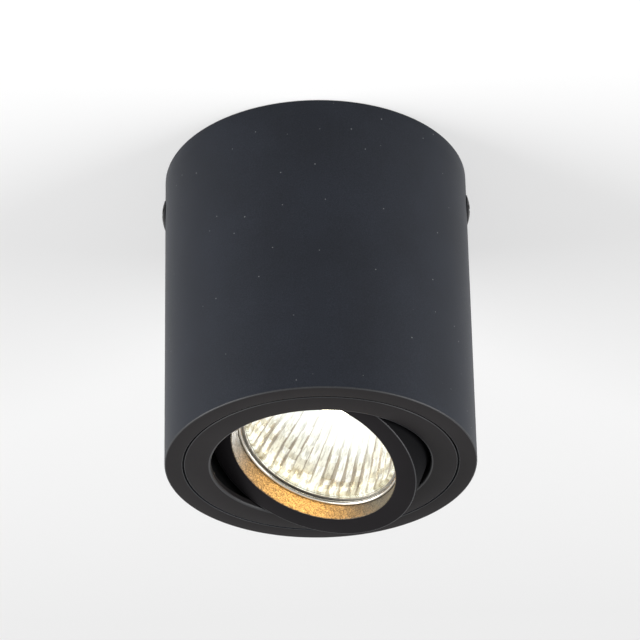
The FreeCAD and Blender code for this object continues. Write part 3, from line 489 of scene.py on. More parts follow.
@dataclass(frozen=True)
class PowderCoat(Finish):
    """Baked powder paint: a matt skin with a fine pebbled grain and faint clouding.

    Attributes:
        grain: Size of the pebbles. Real ones are about 0.1 mm, and these are coarser to show.
        relief: Height of the pebbles.
        bright: The colour of the pebbles' tops.
        gloss: Specular level of the resin.
        contrast: How much of the bright colour the pebbles' tops take.
        dust: How clearly the specks of dust in the paint are seen, from 0 to 1.
        sheen: How much the pebbles' flanks brighten the skin where it turns away.
        cloud_size: The size of the clouds.
        dust_gap: The distance between the specks of dust.
        dust_colour: Their colour.
    """

    grain: float = 0.32
    relief: float = 0.02
    bright: str = "4A4B50"
    gloss: float = 0.35
    contrast: float = 0.3
    dust: float = 0.0
    sheen: float = 0.0
    cloud_size: float = 22.0
    dust_gap: float = 4.5
    dust_colour: str = "8B8D90"

    def dress(self, tree: Tree, place: Socket) -> Inputs:
        """Pebbles in colour, roughness and relief, with clouds and a few specks of dust.

        Args:
            tree: The material's node tree.
            place: The socket that gives the place on the piece, in metres.

        Returns:
            The shader's inputs by name.
        """
        pebbles = add_node(
            tree, "TexNoise",
            {"Vector": place, "Scale": 1 / (self.grain * MM), "Detail": 2.0, "Roughness": 0.6},
        ).outputs["Fac"]
        clouds = add_node(
            tree, "TexNoise",
            {"Vector": place, "Scale": 1 / (self.cloud_size * MM), "Detail": 3.0},
        ).outputs["Fac"]
        heights = add_node(
            tree, "MapRange",
            {"Value": pebbles, "From Min": 0.38, "From Max": 0.68, "To Max": self.contrast},
        ).outputs["Result"]
        skin = add_node(
            tree, "Mix", {0: heights, 6: linear(self.colour), 7: linear(self.bright)},
            data_type="RGBA",
        ).outputs[2]
        shade = add_node(
            tree, "ValToRGB", {"Fac": clouds}, {0.35: "E6E6E6", 0.65: "FFFFFF"}
        ).outputs["Color"]
        skin = add_node(
            tree, "Mix", {0: 1.0, 6: skin, 7: shade}, data_type="RGBA", blend_type="MULTIPLY"
        ).outputs[2]
        if self.dust:
            cells = add_node(
                tree, "TexVoronoi", {"Vector": place, "Scale": 1 / (self.dust_gap * MM)}
            ).outputs["Distance"]
            specks = add_node(
                tree, "MapRange",
                {"Value": cells, "From Min": 0.03, "From Max": 0.055,
                 "To Min": self.dust, "To Max": 0.0},
            ).outputs["Result"]
            skin = add_node(
                tree, "Mix", {0: specks, 6: skin, 7: linear(self.dust_colour)},
                data_type="RGBA",
            ).outputs[2]
        dull = add_node(
            tree, "MapRange",
            {"Value": pebbles, "From Min": 0.3, "From Max": 0.7,
             "To Min": self.roughness - 0.05, "To Max": self.roughness + 0.06},
        ).outputs["Result"]
        relief = add_node(
            tree, "Bump", {"Height": pebbles, "Strength": 0.5, "Distance": self.relief * MM}
        ).outputs["Normal"]
        return {
            "Base Color": skin, "Roughness": dull, "Normal": relief,
            "Specular IOR Level": self.gloss,
            "Sheen Weight": self.sheen, "Sheen Roughness": 0.35,
        }


@dataclass(frozen=True)
class Metal(Finish):
    """Bare or plated metal.

    Attributes:
        dark: The darker colour of its marks.
        marks: What working or plating left on it.
        scale: The size of the marks.
    """

    dark: str
    marks: Marks
    scale: float

    def dress(self, tree: Tree, place: Socket) -> Inputs:
        """Marks in colour, roughness and relief.

        Args:
            tree: The material's node tree.
            place: The socket that gives the place on the piece, in metres.

        Returns:
            The shader's inputs by name.
        """
        if self.marks is Marks.SPANGLE:
            pattern = add_node(
                tree, "TexVoronoi", {"Vector": place, "Scale": 1 / (self.scale * MM)}
            ).outputs["Color"]
            pattern = add_node(tree, "SeparateColor", {"Color": pattern}).outputs["Red"]
        else:
            stretch = (1.0, 1.0, 12.0) if self.marks is Marks.DRAWN else (1.0, 1.0, 1.0)
            lines = add_node(tree, "Mapping", {"Vector": place, "Scale": stretch})
            pattern = add_node(
                tree, "TexNoise",
                {"Vector": lines.outputs["Vector"], "Scale": 1 / (self.scale * MM),
                 "Detail": 4.0, "Roughness": 0.65},
            ).outputs["Fac"]
        skin = add_node(
            tree, "ValToRGB", {"Fac": pattern}, {0.3: self.dark, 0.7: self.colour}
        ).outputs["Color"]
        dull = add_node(
            tree, "MapRange",
            {"Value": pattern, "To Min": self.roughness - 0.06,
             "To Max": self.roughness + 0.08},
        ).outputs["Result"]
        relief = add_node(
            tree, "Bump", {"Height": pattern, "Strength": 0.2, "Distance": 0.008 * MM}
        ).outputs["Normal"]
        return {"Base Color": skin, "Roughness": dull, "Normal": relief, "Metallic": 1.0}


@dataclass(frozen=True)
class Moulded(Finish):
    """Moulded plastic or rubber: the tool's spark-eroded grain, with faint flow clouds.

    Attributes:
        shade: The darker colour of the flow clouds.
        stripe: The colour of a stripe along a sleeve, or an empty string.
        grain: The size of the grain.
        cloud_size: The size of the flow clouds.
    """

    shade: str
    stripe: str = ""
    grain: float = 0.25
    cloud_size: float = 5.0

    def dress(self, tree: Tree, place: Socket) -> Inputs:
        """Flow clouds in colour, grain in relief, and the stripe of an earth sleeve.

        Args:
            tree: The material's node tree.
            place: The socket that gives the place on the piece, in metres.

        Returns:
            The shader's inputs by name.
        """
        clouds = add_node(
            tree, "TexNoise",
            {"Vector": place, "Scale": 1 / (self.cloud_size * MM), "Detail": 2.0},
        ).outputs["Fac"]
        skin = add_node(
            tree, "ValToRGB", {"Fac": clouds}, {0.35: self.shade, 0.65: self.colour}
        ).outputs["Color"]
        if self.stripe:
            across = add_node(tree, "UVMap", uv_map="sleeve").outputs["UV"]
            around = add_node(tree, "SeparateXYZ", {"Vector": across}).outputs["X"]
            band = add_node(tree, "Math", {0: around, 1: 0.5}, operation="GREATER_THAN")
            skin = add_node(
                tree, "Mix", {0: band.outputs[0], 6: skin, 7: linear(self.stripe)},
                data_type="RGBA",
            ).outputs[2]
        grain = add_node(
            tree, "TexNoise", {"Vector": place, "Scale": 1 / (self.grain * MM), "Detail": 2.0}
        ).outputs["Fac"]
        relief = add_node(
            tree, "Bump", {"Height": grain, "Strength": 0.3, "Distance": 0.01 * MM}
        ).outputs["Normal"]
        return {"Base Color": skin, "Normal": relief}


@dataclass(frozen=True)
class Ceramic(Finish):
    """Pressed and fired steatite: off white, chalky, with fine pores.

    Attributes:
        pore_size: The distance between the pores.
        pore: The colour inside the pores.
        cloud: The colour of the kiln clouds.
        cloud_size: Their size.
    """

    pore_size: float = 0.9
    pore: str = "B9B2A4"
    cloud: str = "DDD8CC"
    cloud_size: float = 6.0

    def dress(self, tree: Tree, place: Socket) -> Inputs:
        """Pores in colour and relief over faint kiln clouds.

        Args:
            tree: The material's node tree.
            place: The socket that gives the place on the piece, in metres.

        Returns:
            The shader's inputs by name.
        """
        clouds = add_node(
            tree, "TexNoise",
            {"Vector": place, "Scale": 1 / (self.cloud_size * MM), "Detail": 4.0},
        ).outputs["Fac"]
        body = add_node(
            tree, "ValToRGB", {"Fac": clouds}, {0.3: self.cloud, 0.7: self.colour}
        ).outputs["Color"]
        cells = add_node(
            tree, "TexVoronoi", {"Vector": place, "Scale": 1 / (self.pore_size * MM)}
        ).outputs["Distance"]
        pores = add_node(
            tree, "MapRange",
            {"Value": cells, "From Min": 0.08, "From Max": 0.16, "To Min": 1.0, "To Max": 0.0},
        ).outputs["Result"]
        skin = add_node(
            tree, "Mix", {0: pores, 6: body, 7: linear(self.pore)}, data_type="RGBA"
        ).outputs[2]
        relief = add_node(
            tree, "Bump", {"Height": cells, "Strength": 0.25, "Distance": 0.03 * MM}
        ).outputs["Normal"]
        return {"Base Color": skin, "Normal": relief}


@dataclass(frozen=True)
class Glass(Finish):
    """Clear pressed or drawn glass, faintly wavy, that may glow with the light inside it.

    Attributes:
        glow: The strength of the light that it scatters.
        glow_colour: The colour of that light.
        index: How strongly it bends light.
        wave_size: The size of its waves.
    """

    glow: float = 0.0
    glow_colour: str = "FFF1D8"
    index: float = 1.47
    wave_size: float = 9.0

    def dress(self, tree: Tree, place: Socket) -> Inputs:
        """Waves in relief, and the glow.

        Args:
            tree: The material's node tree.
            place: The socket that gives the place on the piece, in metres.

        Returns:
            The shader's inputs by name.
        """
        waves = add_node(
            tree, "TexNoise",
            {"Vector": place, "Scale": 1 / (self.wave_size * MM), "Detail": 1.0},
        ).outputs["Fac"]
        relief = add_node(
            tree, "Bump", {"Height": waves, "Strength": 0.1, "Distance": 0.1 * MM}
        ).outputs["Normal"]
        return {
            "Transmission Weight": 1.0, "IOR": self.index, "Normal": relief,
            "Emission Color": linear(self.glow_colour), "Emission Strength": self.glow,
        }


@dataclass(frozen=True)
class LitMirror(Finish):
    """Vacuum coated aluminium on fluted glass, lit by the filament in front of it.

    Its flutes are lit along their middles and dark at their joints, and the light grows
    towards the neck until it is white. It reads the bowl's own map: across it counts the
    flutes, and up it runs from the rim, 0, to the neck, 1.

    Attributes:
        strength: How bright it shines.
        rows: How many facets a flute has from rim to neck.
    """

    strength: float = 1.34
    rows: float = 16.0

    def dress(self, tree: Tree, place: Socket) -> Inputs:
        """Flutes, facets and the growing light.

        Args:
            tree: The material's node tree.
            place: The socket that gives the place on the piece, in metres; not used here.

        Returns:
            The shader's inputs by name.
        """
        spot = add_node(tree, "UVMap", uv_map="flutes").outputs["UV"]
        parts = add_node(tree, "SeparateXYZ", {"Vector": spot})
        across, along = parts.outputs["X"], parts.outputs["Y"]
        number = add_node(tree, "Math", {0: across}, operation="FLOOR").outputs[0]
        rows = add_node(
            tree, "Math", {0: along, 1: self.rows}, operation="MULTIPLY"
        ).outputs[0]
        row = add_node(tree, "Math", {0: rows}, operation="FLOOR").outputs[0]
        cell = add_node(tree, "CombineXYZ", {"X": number, "Y": row}).outputs["Vector"]
        facet = add_node(tree, "TexWhiteNoise", {"Vector": cell}, noise_dimensions="2D")
        chance = add_node(
            tree, "TexWhiteNoise", {"W": number}, noise_dimensions="1D"
        ).outputs["Value"]
        stretched = add_node(
            tree, "Mapping", {"Vector": spot, "Scale": (3.1, 9.0, 1.0)}
        ).outputs["Vector"]
        streaks = add_node(
            tree, "TexNoise",
            {"Vector": stretched, "Scale": 1.0, "Detail": 3.0, "Roughness": 0.7},
            noise_dimensions="2D",
        ).outputs["Fac"]
        # The joints between the flutes are ragged, because each facet ends a little elsewhere.
        nudge = add_node(
            tree, "MapRange", {"Value": facet.outputs["Value"], "To Min": -0.07, "To Max": 0.07}
        ).outputs["Result"]
        bent = add_node(tree, "Math", {0: across, 1: nudge}, operation="ADD").outputs[0]
        fold = add_node(tree, "Math", {0: bent, 1: 0.5}, operation="PINGPONG").outputs[0]
        width = add_node(
            tree, "MapRange",
            {"Value": along, "From Min": 0.2, "From Max": 0.78, "To Min": 0.27, "To Max": 0.0},
        ).outputs["Result"]
        width = add_node(
            tree, "Math", {0: width, 1: chance, 2: 0.03}, operation="MULTIPLY_ADD"
        ).outputs[0]
        inside = add_node(tree, "Math", {0: fold, 1: width}, operation="SUBTRACT").outputs[0]
        middle = add_node(
            tree, "MapRange", {"Value": inside, "From Min": -0.02, "From Max": 0.05}
        ).outputs["Result"]
        ragged = add_node(
            tree, "Math", {0: chance, 1: 0.2, 2: along}, operation="MULTIPLY_ADD"
        ).outputs[0]
        light = add_node(
            tree, "ValToRGB", {"Fac": ragged},
            {0.0: "FFFCF2", 0.06: "F8F3E8", 0.3: "E8E3DF", 0.5: "EFEBE8", 0.71: "FFFFFF"},
        ).outputs["Color"]
        joint = add_node(
            tree, "ValToRGB", {"Fac": ragged},
            {0.0: "D9D0BC", 0.14: "BDB19B", 0.3: "83756A", 0.5: "8C7A6A", 0.74: "FFFFFF"},
        ).outputs["Color"]
        shown = add_node(
            tree, "Mix", {0: middle, 6: joint, 7: light}, data_type="RGBA"
        ).outputs[2]
        flash = add_node(
            tree, "ValToRGB", {"Fac": streaks}, {0.36: "A9A39C", 0.47: "ECE8E2", 0.56: "FFFFFF"}
        ).outputs["Color"]
        calm = add_node(
            tree, "MapRange",
            {"Value": along, "From Min": 0.45, "From Max": 0.66, "To Min": 0.7, "To Max": 0.0},
        ).outputs["Result"]
        shown = add_node(
            tree, "Mix", {0: calm, 6: shown, 7: flash}, data_type="RGBA",
            blend_type="MULTIPLY",
        ).outputs[2]
        near_rim = add_node(
            tree, "MapRange",
            {"Value": along, "From Min": 0.22, "From Max": 0.48, "To Min": 0.85, "To Max": 0.1},
        ).outputs["Result"]
        square = add_node(
            tree, "ValToRGB", {"Fac": facet.outputs["Value"]},
            {0.0: "B3A688", 0.35: "DDD5C3", 0.6: "FFFFFF"},
        ).outputs["Color"]
        shown = add_node(
            tree, "Mix", {0: near_rim, 6: shown, 7: square}, data_type="RGBA",
            blend_type="MULTIPLY",
        ).outputs[2]
        return {
            "Emission Color": shown, "Emission Strength": self.strength, "Metallic": 1.0,
        }


@dataclass(frozen=True)
class GlowingWire(Finish):
    """Coiled tungsten at working heat.

    Attributes:
        coil: The distance between the turns of the coil.
        strength: How bright it shines.
    """

    coil: float = 0.4
    strength: float = 14.0

    def dress(self, tree: Tree, place: Socket) -> Inputs:
        """Turns of the coil, hotter on their outsides.

        Args:
            tree: The material's node tree.
            place: The socket that gives the place on the piece, in metres.

        Returns:
            The shader's inputs by name.
        """
        turns = add_node(
            tree, "TexWave",
            {"Vector": place, "Scale": 1 / (self.coil * MM), "Distortion": 1.0},
        ).outputs["Fac"]
        heat = add_node(
            tree, "ValToRGB", {"Fac": turns}, {0.0: "FFC978", 1.0: "FFF6E4"}
        ).outputs["Color"]
        return {
            "Emission Color": heat, "Emission Strength": self.strength, "Metallic": 1.0,
        }


# Matt anthracite powder coat on the drum: cool charcoal, slightly pebbled, soft sheen.
DRUM_COAT = PowderCoat(
    "powder_coat_drum", "171B23", 0.5, bright="343945", gloss=0.2, dust=0.6, sheen=0.08
)
# The same powder on the cast rings, a touch warmer and flatter.
RING_COAT = PowderCoat("powder_coat_rings", "1D1B1C", 0.6, bright="302C2D", gloss=0.14)
# The tilting ring's face, in the same powder as the trim but painted darker: painted shade for
# the dimmer reflection on its tilted face.
LAMP_RING_SHADED_COAT = PowderCoat(
    "powder_coat_lamp_ring_painted_shade", "141214", 0.58, bright="232023", gloss=0.1
)
# Its outer wall, which turns up into the drum: painted shade, nearly black in place of the
# shadow of the trim's lip in the recess.
RING_WALL_SHADE_COAT = PowderCoat(
    "powder_coat_ring_wall_painted_shade", "0A0A0C", 0.66, bright="141417", gloss=0.06
)
# Edges, where the powder draws thin over the metal and catches the light.
# Rounded edges: a painted highlight, a touch lighter and glossier than the coats beside them,
# drawing thin bright lines along the edges.
EDGE_HIGHLIGHT_COAT = PowderCoat("powder_coat_edges_painted_highlight", "202124", 0.4, bright="424346", gloss=0.42)
# Inside the collar: painted shade, nearly black in place of the dark gap round the tilting ring.
INNER_SHADE_COAT = PowderCoat("powder_coat_inside_painted_shade", "0B0B0C", 0.7, bright="151517", gloss=0.08)
# The lamp ring's bore: the powder lies thicker and sandier and the glow lamps light it; its warm
# brown skin and bright tan pebble tops are also painted lamp light and painted glints.
BORE_GLOW_PAINTED_COAT = PowderCoat(
    "powder_coat_bore_painted_glow", "2A241B", 0.48, grain=0.36, relief=0.09, bright="8F8269", gloss=0.35,
    contrast=0.95,
)
# Strip steel galvanised in the coil: small grey spangles.
GALVANISED = Metal("galvanised_strip", "BFC3C5", 0.4, "AFB3B6", Marks.SPANGLE, 1.6)
# Bright zinc plating with a bluish passivation on the small screws.
ZINC = Metal("bright_zinc_plate", "D2D6DA", 0.28, "A9AFB6", Marks.BLASTED, 0.5)
# Black oxide on the side screws: nearly black, oiled, faintly glossy.
BLACK_OXIDE = Metal("black_oxide_steel", "1B1B1D", 0.42, "111113", Marks.BLASTED, 0.5)
# Tempered spring strip: straw grey with lines from rolling.
SPRING_STRIP = Metal("tempered_spring_strip", "B5B2A8", 0.3, "8A877E", Marks.DRAWN, 0.5)
# Drawn stainless wire of the clip.
CLIP_WIRE = Metal("drawn_stainless_wire", "D8D4CA", 0.24, "B0ACA3", Marks.DRAWN, 0.3)
# Turned brass clamps, lightly tarnished.
BRASS = Metal("turned_brass", "D9B566", 0.3, "B08C45", Marks.DRAWN, 0.4)
# Nickel plated pins and contacts.
NICKEL = Metal("nickel_plated_brass", "CFC9BC", 0.26, "A59F92", Marks.BLASTED, 0.4)
# Tin on the copper ring terminal: soft, slightly yellow silver.
TIN = Metal("tinned_copper", "CFCCC3", 0.36, "A8A49A", Marks.BLASTED, 0.5)
# White polyamide of the terminal block, slightly waxy.
POLYAMIDE = Moulded("moulded_polyamide_white", "E6E4DC", 0.45, "D8D5CA")
# Soft black rubber of the cable bush.
RUBBER = Moulded("moulded_rubber_black", "222222", 0.62, "181818")
# Hard nylon of the friction washers.
NYLON = Moulded("moulded_nylon_natural", "D9D3C2", 0.4, "C9C2AE")
# Silicone sleeves of the leads: brown for live, blue for neutral, green and yellow for earth.
LIVE_SLEEVE = Moulded("silicone_sleeve_brown", "6A3B22", 0.5, "5A301A")
NEUTRAL_SLEEVE = Moulded("silicone_sleeve_blue", "2F66A8", 0.5, "27568F")
EARTH_SLEEVE = Moulded(
    "silicone_sleeve_green_yellow", "3E8B3A", 0.5, "34762F", stripe="E0CC2E"
)
# Steatite of the lamp's base and of the holder.
BASE_STEATITE = Ceramic("steatite_lamp_base", "EEEAE0", 0.6)
HOLDER_STEATITE = Ceramic("steatite_holder", "E8E3D6", 0.65, pore_size=1.1)
# Clear front glass with a faint green edge.
FRONT_GLASS = Glass("clear_front_glass", "F1F8F3", 0.02)
# Quartz capsule, full of light.
QUARTZ = Glass("quartz_capsule", "FFFFFF", 0.05, glow=2.5)
# Coated bowl: lit inside, dull silver outside. The filament in front of it is at working heat.
MIRROR = LitMirror("aluminised_flutes", "7A766E", 0.22)
BOWL_BACK = Metal("aluminised_glass_back", "C9C8C4", 0.34, "A5A4A0", Marks.BLASTED, 0.8)
FILAMENT_HEAT = GlowingWire("tungsten_at_heat", "FFE2B0", 0.5)


# Pieces.


@dataclass(frozen=True)
class Home:
    """Where a piece belongs.

    Attributes:
        body: The body that it moves with, or None where it bends between two.
        slot: The record's material slot; not used.
        nodes: The nodes of the model that it stands for.
    """

    body: Body | None
    slot: str
    nodes: tuple[str, ...]


def put(name: str, mesh: Mesh, finishes: Sequence[Finish], home: Home) -> bpy.types.Object:
    """Makes a piece of a mesh that is in place, and sets it on its body.

    Args:
        name: The piece's name.
        mesh: Its mesh in metres, which is freed.
        finishes: Its finishes, in the order of its faces' material numbers.
        home: Where it belongs.

    Returns:
        The piece.
    """
    piece = stand(name, mesh)
    for finish in finishes:
        piece.data.materials.append(finish.material())
    piece.data.shade_smooth()
    piece.data.set_sharp_from_angle(angle=SHARP)
    if home.body:
        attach(piece, home.body.value)
    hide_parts(*home.nodes)
    LOG.info("%s: %d faces", name, len(piece.data.polygons))
    return piece


def even_flats(piece: bpy.types.Object) -> None:
    """Lets the large faces of a piece rule its shading, so that its flats look flat.

    Args:
        piece: The piece.
    """
    even = piece.modifiers.new("even_flats", "WEIGHTED_NORMAL")
    even.keep_sharp = True


@dataclass
class Drum:
    """The drum: an open tube with a rim turned in at the bottom and a shoulder inside."""

    radius: float = 46.73
    bore: float = 44.5
    height: float = 100.0
    rim: float = 41.4
    shoulder: float = 38.5
    shoulder_under: float = -97.9
    shoulder_top: float = -96.0
    edge: float = 0.35
    screw_level: float = -10.8
    screw_hole: float = 2.8
    seat_radius: float = 5.0
    seat_depth: float = 0.3
    seat_band: float = 0.6
    rib_azimuth: float = 34.17
    rib_width: float = 3.4
    rib_height: float = 3.2
    rib_start: float = 40.2
    rib_foot: float = 0.5
    rib_root: float = 1.0
    rib_round: float = 0.25
    entry_turn: float = 9.0
    entry_width: float = 3.4
    home: Home = Home(Body.HOUSING, "housing", ("housing",))

    def shell(self) -> Mesh:
        """Turns the wall, the rim and the shoulder.

        Returns:
            The shell, whose rim's faces have material number 1 and whose edges have 2.
        """
        mesh = turn([
            Corner(self.bore, 0.0, rounding=0.2),
            Corner(self.radius, 0.0, rounding=0.25),
            Corner(self.radius, -self.height, self.edge),
            Corner(self.rim, -self.height, self.edge / 2),
            Corner(self.rim, self.shoulder_under),
            Corner(self.shoulder, self.shoulder_under),
            Corner(self.shoulder, self.shoulder_top, rounding=0.1),
            Corner(self.bore, self.shoulder_top),
        ], FINE_STEPS, edge=2)
        for face in mesh.faces:
            if face.material_index == 0 and face_place(face)[1] < SLACK - self.height:
                face.material_index = 1
        # Two rings of edges keep the cuts for the screws from bending the light on the wall.
        for side in (1.0, -1.0):
            level = (self.screw_level + side * (self.seat_radius + self.seat_band)) * MM
            bmesh.ops.bisect_plane(
                mesh, geom=[*mesh.verts, *mesh.edges, *mesh.faces], dist=SLIVER,
                plane_co=(0.0, 0.0, level), plane_no=UPWARDS,
            )
        return mesh

    def cutters(self) -> list[Mesh]:
        """Shapes what is cut out: the side screws' holes and seats, and the lug's notch.

        Returns:
            The cutters in place.
        """
        inner = self.bore - 2 * PAST
        outer = self.radius + 2 * PAST
        face = self.radius - self.seat_depth
        turned = Matrix.Rotation(math.radians(self.rib_azimuth + self.entry_turn), 4, "Z")
        half = self.entry_width / 2
        notch = bar(
            Vector((self.shoulder - PAST, -half, self.shoulder_under - PAST)),
            Vector((self.rim, half, self.shoulder_top + PAST)),
        )
        shapes = [moved(notch, turned)]
        for side in (1.0, -1.0):
            shapes.append(rod(self.screw_hole, side * inner, side * face, self.screw_level))
            shapes.append(rod(self.seat_radius, side * face, side * outer, self.screw_level))
        return shapes

    def rib(self) -> Mesh:
        """Shapes the rib that ends the turn of the trim ring.

        Returns:
            The rib in place.
        """
        half = self.rib_width / 2
        block = bar(
            Vector((self.rib_start, -half, self.shoulder_top - self.rib_foot)),
            Vector((self.bore + self.rib_root, half, self.shoulder_top + self.rib_height)),
            self.rib_round,
        )
        return moved(block, Matrix.Rotation(math.radians(self.rib_azimuth), 4, "Z"))

    def build(self) -> None:
        """Makes the drum."""
        wall = carve(self.shell(), self.cutters())
        put("drum", joined([wall, self.rib()]), [DRUM_COAT, RING_COAT, EDGE_HIGHLIGHT_COAT], self.home)


@dataclass
class SideScrews:
    """The two low slotted screws that hold the drum on its strap."""

    seat: float = 46.45
    level: float = -10.8
    thread: float = 2.5
    chamfer: float = 0.5
    length: float = 8.0
    head: float = 4.7
    head_edge: float = 0.4
    crown: float = 1.29
    dome: float = 12.85
    slot_half: float = 0.6
    slot_floor: float = 0.55
    left_turn: float = 0.0
    right_turn: float = 15.0
    dome_steps: int = 12
    steps: int = 96

    def screw(self) -> Mesh:
        """Turns a screw along Z and cuts its slot.

        Returns:
            The screw with the seat of its head at z = 0 and its slot along X.
        """
        dome = arc_corners(
            Corner(self.head, self.head_edge), Corner(0.0, self.crown), self.dome,
            self.dome_steps,
        )
        turned = turn([
            Corner(0.0, -self.length),
            Corner(self.thread - self.chamfer, -self.length),
            Corner(self.thread, self.chamfer - self.length),
            Corner(self.thread, 0.0),
            Corner(self.head, 0.0),
            *dome,
        ], self.steps)
        slot = bar(
            Vector((-self.head - PAST, -self.slot_half, self.slot_floor)),
            Vector((self.head + PAST, self.slot_half, self.crown + PAST)),
        )
        return carve(turned, [slot])

    def build(self) -> None:
        """Makes both screws, each with the turn at which it came to rest."""
        for name, side, turn_by in (
            ("left", -1.0, self.left_turn), ("right", 1.0, self.right_turn)
        ):
            place = Matrix.Translation((side * self.seat * MM, 0.0, self.level * MM))
            lie = Matrix.Rotation(side * math.pi / 2, 4, "Y")
            across = Matrix.Rotation(math.radians(90.0 + turn_by), 4, "Z")
            screw = moved(self.screw(), place @ lie @ across)
            home = Home(Body.HOUSING, "black_screw", (f"side_screw_{name}",))
            even_flats(put(f"side_screw_{name}_slotted", screw, [BLACK_OXIDE], home))


@dataclass
class TrimRing:
    """The flush ring round the aperture, with the collar that carries the hinge."""

    aperture: float = 32.9
    aperture_round: float = 0.7
    radius: float = 40.85
    under: float = -100.0
    flange_top: float = -98.0
    land: float = 38.4
    land_top: float = -96.0
    collar: float = 37.2
    collar_bore: float = 35.4
    collar_top: float = -80.0
    bearing: float = 2.05
    flat: float = 37.0
    hinge_flat: float = 3.3
    spring_flat_half: float = 3.6
    spring_flat_low: float = -88.6
    spring_turns: tuple[float, ...] = (-90.0, 30.0, 150.0)
    lug_half: float = 1.4
    lug_end: float = 41.1
    lug_low: float = -95.6
    lug_high: float = -93.2
    lug_root: float = 0.9
    lug_round: float = 0.25
    home: Home = Home(Body.TRIM, "trim", ("trim_ring",))

    def ring(self) -> Mesh:
        """Turns the flange, the land and the collar.

        Returns:
            The ring, whose edges' faces have material number 1 and the collar's inside 2.
        """
        mesh = turn([
            Corner(self.aperture, self.flange_top),
            Corner(self.aperture, self.under, self.aperture_round),
            Corner(self.radius, self.under, rounding=0.2),
            Corner(self.radius, self.flange_top),
            Corner(self.land, self.flange_top),
            Corner(self.land, self.land_top, rounding=0.15),
            Corner(self.collar, self.land_top),
            Corner(self.collar, self.collar_top, rounding=0.25),
            Corner(self.collar_bore, self.collar_top, rounding=0.25),
            Corner(self.collar_bore, self.flange_top),
        ], FINE_STEPS, edge=1)
        for face in mesh.faces:
            reach, height = face_place(face)
            if reach < self.collar_bore + SLACK and height > self.flange_top - SLACK:
                face.material_index = 2
        return mesh

    def cutters(self) -> list[Mesh]:
        """Shapes what is cut out: the bearings with their flats, and the springs' flats.

        Returns:
            The cutters, before the trim's own turn.
        """
        shapes = []
        for side in (1.0, -1.0):
            inner, flat, outer = (
                side * reach
                for reach in (self.collar_bore - 2 * PAST, self.flat, self.collar + 2 * PAST)
            )
            shapes.append(rod(self.bearing, inner, flat, PIVOT_LEVEL))
            shapes.append(rod(self.hinge_flat, flat, outer, PIVOT_LEVEL))
        half = self.spring_flat_half
        for turn_by in self.spring_turns:
            block = bar(
                Vector((self.flat, -half, self.spring_flat_low)),
                Vector((self.collar + 2 * PAST, half, self.collar_top + PAST)),
            )
            shapes.append(moved(block, Matrix.Rotation(math.radians(turn_by), 4, "Z")))
        return shapes

    def lug(self) -> Mesh:
        """Shapes the lug that meets the drum's rib.

        Returns:
            The lug, before the trim's own turn.
        """
        return bar(
            Vector((-self.lug_half, self.collar - self.lug_root, self.lug_low)),
            Vector((self.lug_half, self.lug_end, self.lug_high)), self.lug_round,
        )

    def build(self) -> None:
        """Makes the trim ring."""
        whole = joined([carve(self.ring(), self.cutters()), self.lug()])
        finishes = [RING_COAT, EDGE_HIGHLIGHT_COAT, INNER_SHADE_COAT]
        put("trim_ring_flush", moved(whole, trim_frame()), finishes, self.home)


@dataclass
class LampRing:
    """The tilting ring: face, outer wall, inner sleeve with the lamp's ledge, and two bosses."""

    bore: float = 25.63
    radius: float = 32.2
    front: float = -7.36
    back: float = 8.0
    face_back: float = -5.41
    inner_wall: float = 30.19
    sleeve: float = 27.83
    ledge: float = 24.5
    ledge_front: float = 2.24
    ledge_back: float = 4.04
    groove: float = 26.03
    groove_front: float = -1.91
    groove_back: float = -0.41
    boss: float = 4.5
    boss_start: float = 31.2
    boss_end: float = 34.6
    thread: float = 1.52
    home: Home = Home(Body.HEAD, "trim", ("lamp_ring",))

    def ring(self) -> Mesh:
        """Turns the ring.

        Returns:
            The ring, whose bore's faces have material number 1, its edges 2 and its wall 3.
        """
        mesh = turn([
            Corner(self.bore, self.front, rounding=0.3),
            Corner(self.radius, self.front, rounding=0.26),
            Corner(self.radius, self.back, rounding=0.3),
            Corner(self.inner_wall, self.back, rounding=0.3),
            Corner(self.inner_wall, self.face_back),
            Corner(self.sleeve, self.face_back),
            Corner(self.sleeve, self.ledge_back, rounding=0.2),
            Corner(self.ledge, self.ledge_back),
            Corner(self.ledge, self.ledge_front),
            Corner(self.bore, self.ledge_front),
            Corner(self.bore, self.groove_back),
            Corner(self.groove, self.groove_back),
            Corner(self.groove, self.groove_front),
            Corner(self.bore, self.groove_front),
        ], FINE_STEPS, edge=2)
        for face in mesh.faces:
            reach, height = face_place(face)
            if reach < self.groove + SLACK and height < self.ledge_front + SLACK:
                face.material_index = 1
            elif reach > self.radius - SLACK and face.material_index == 0:
                face.material_index = 3
        return mesh

    def build(self) -> None:
        """Makes the lamp ring."""
        parts = [self.ring()]
        for side in (1.0, -1.0):
            start, end = side * self.boss_start, side * self.boss_end
            hole = rod(self.thread, start - side * PAST, end + side * PAST)
            parts.append(carve(rod(self.boss, start, end), [hole]))
        finishes = [LAMP_RING_SHADED_COAT, BORE_GLOW_PAINTED_COAT, EDGE_HIGHLIGHT_COAT, RING_WALL_SHADE_COAT]
        put("lamp_ring_tilting", moved(joined(parts), head_frame()), finishes, self.home)


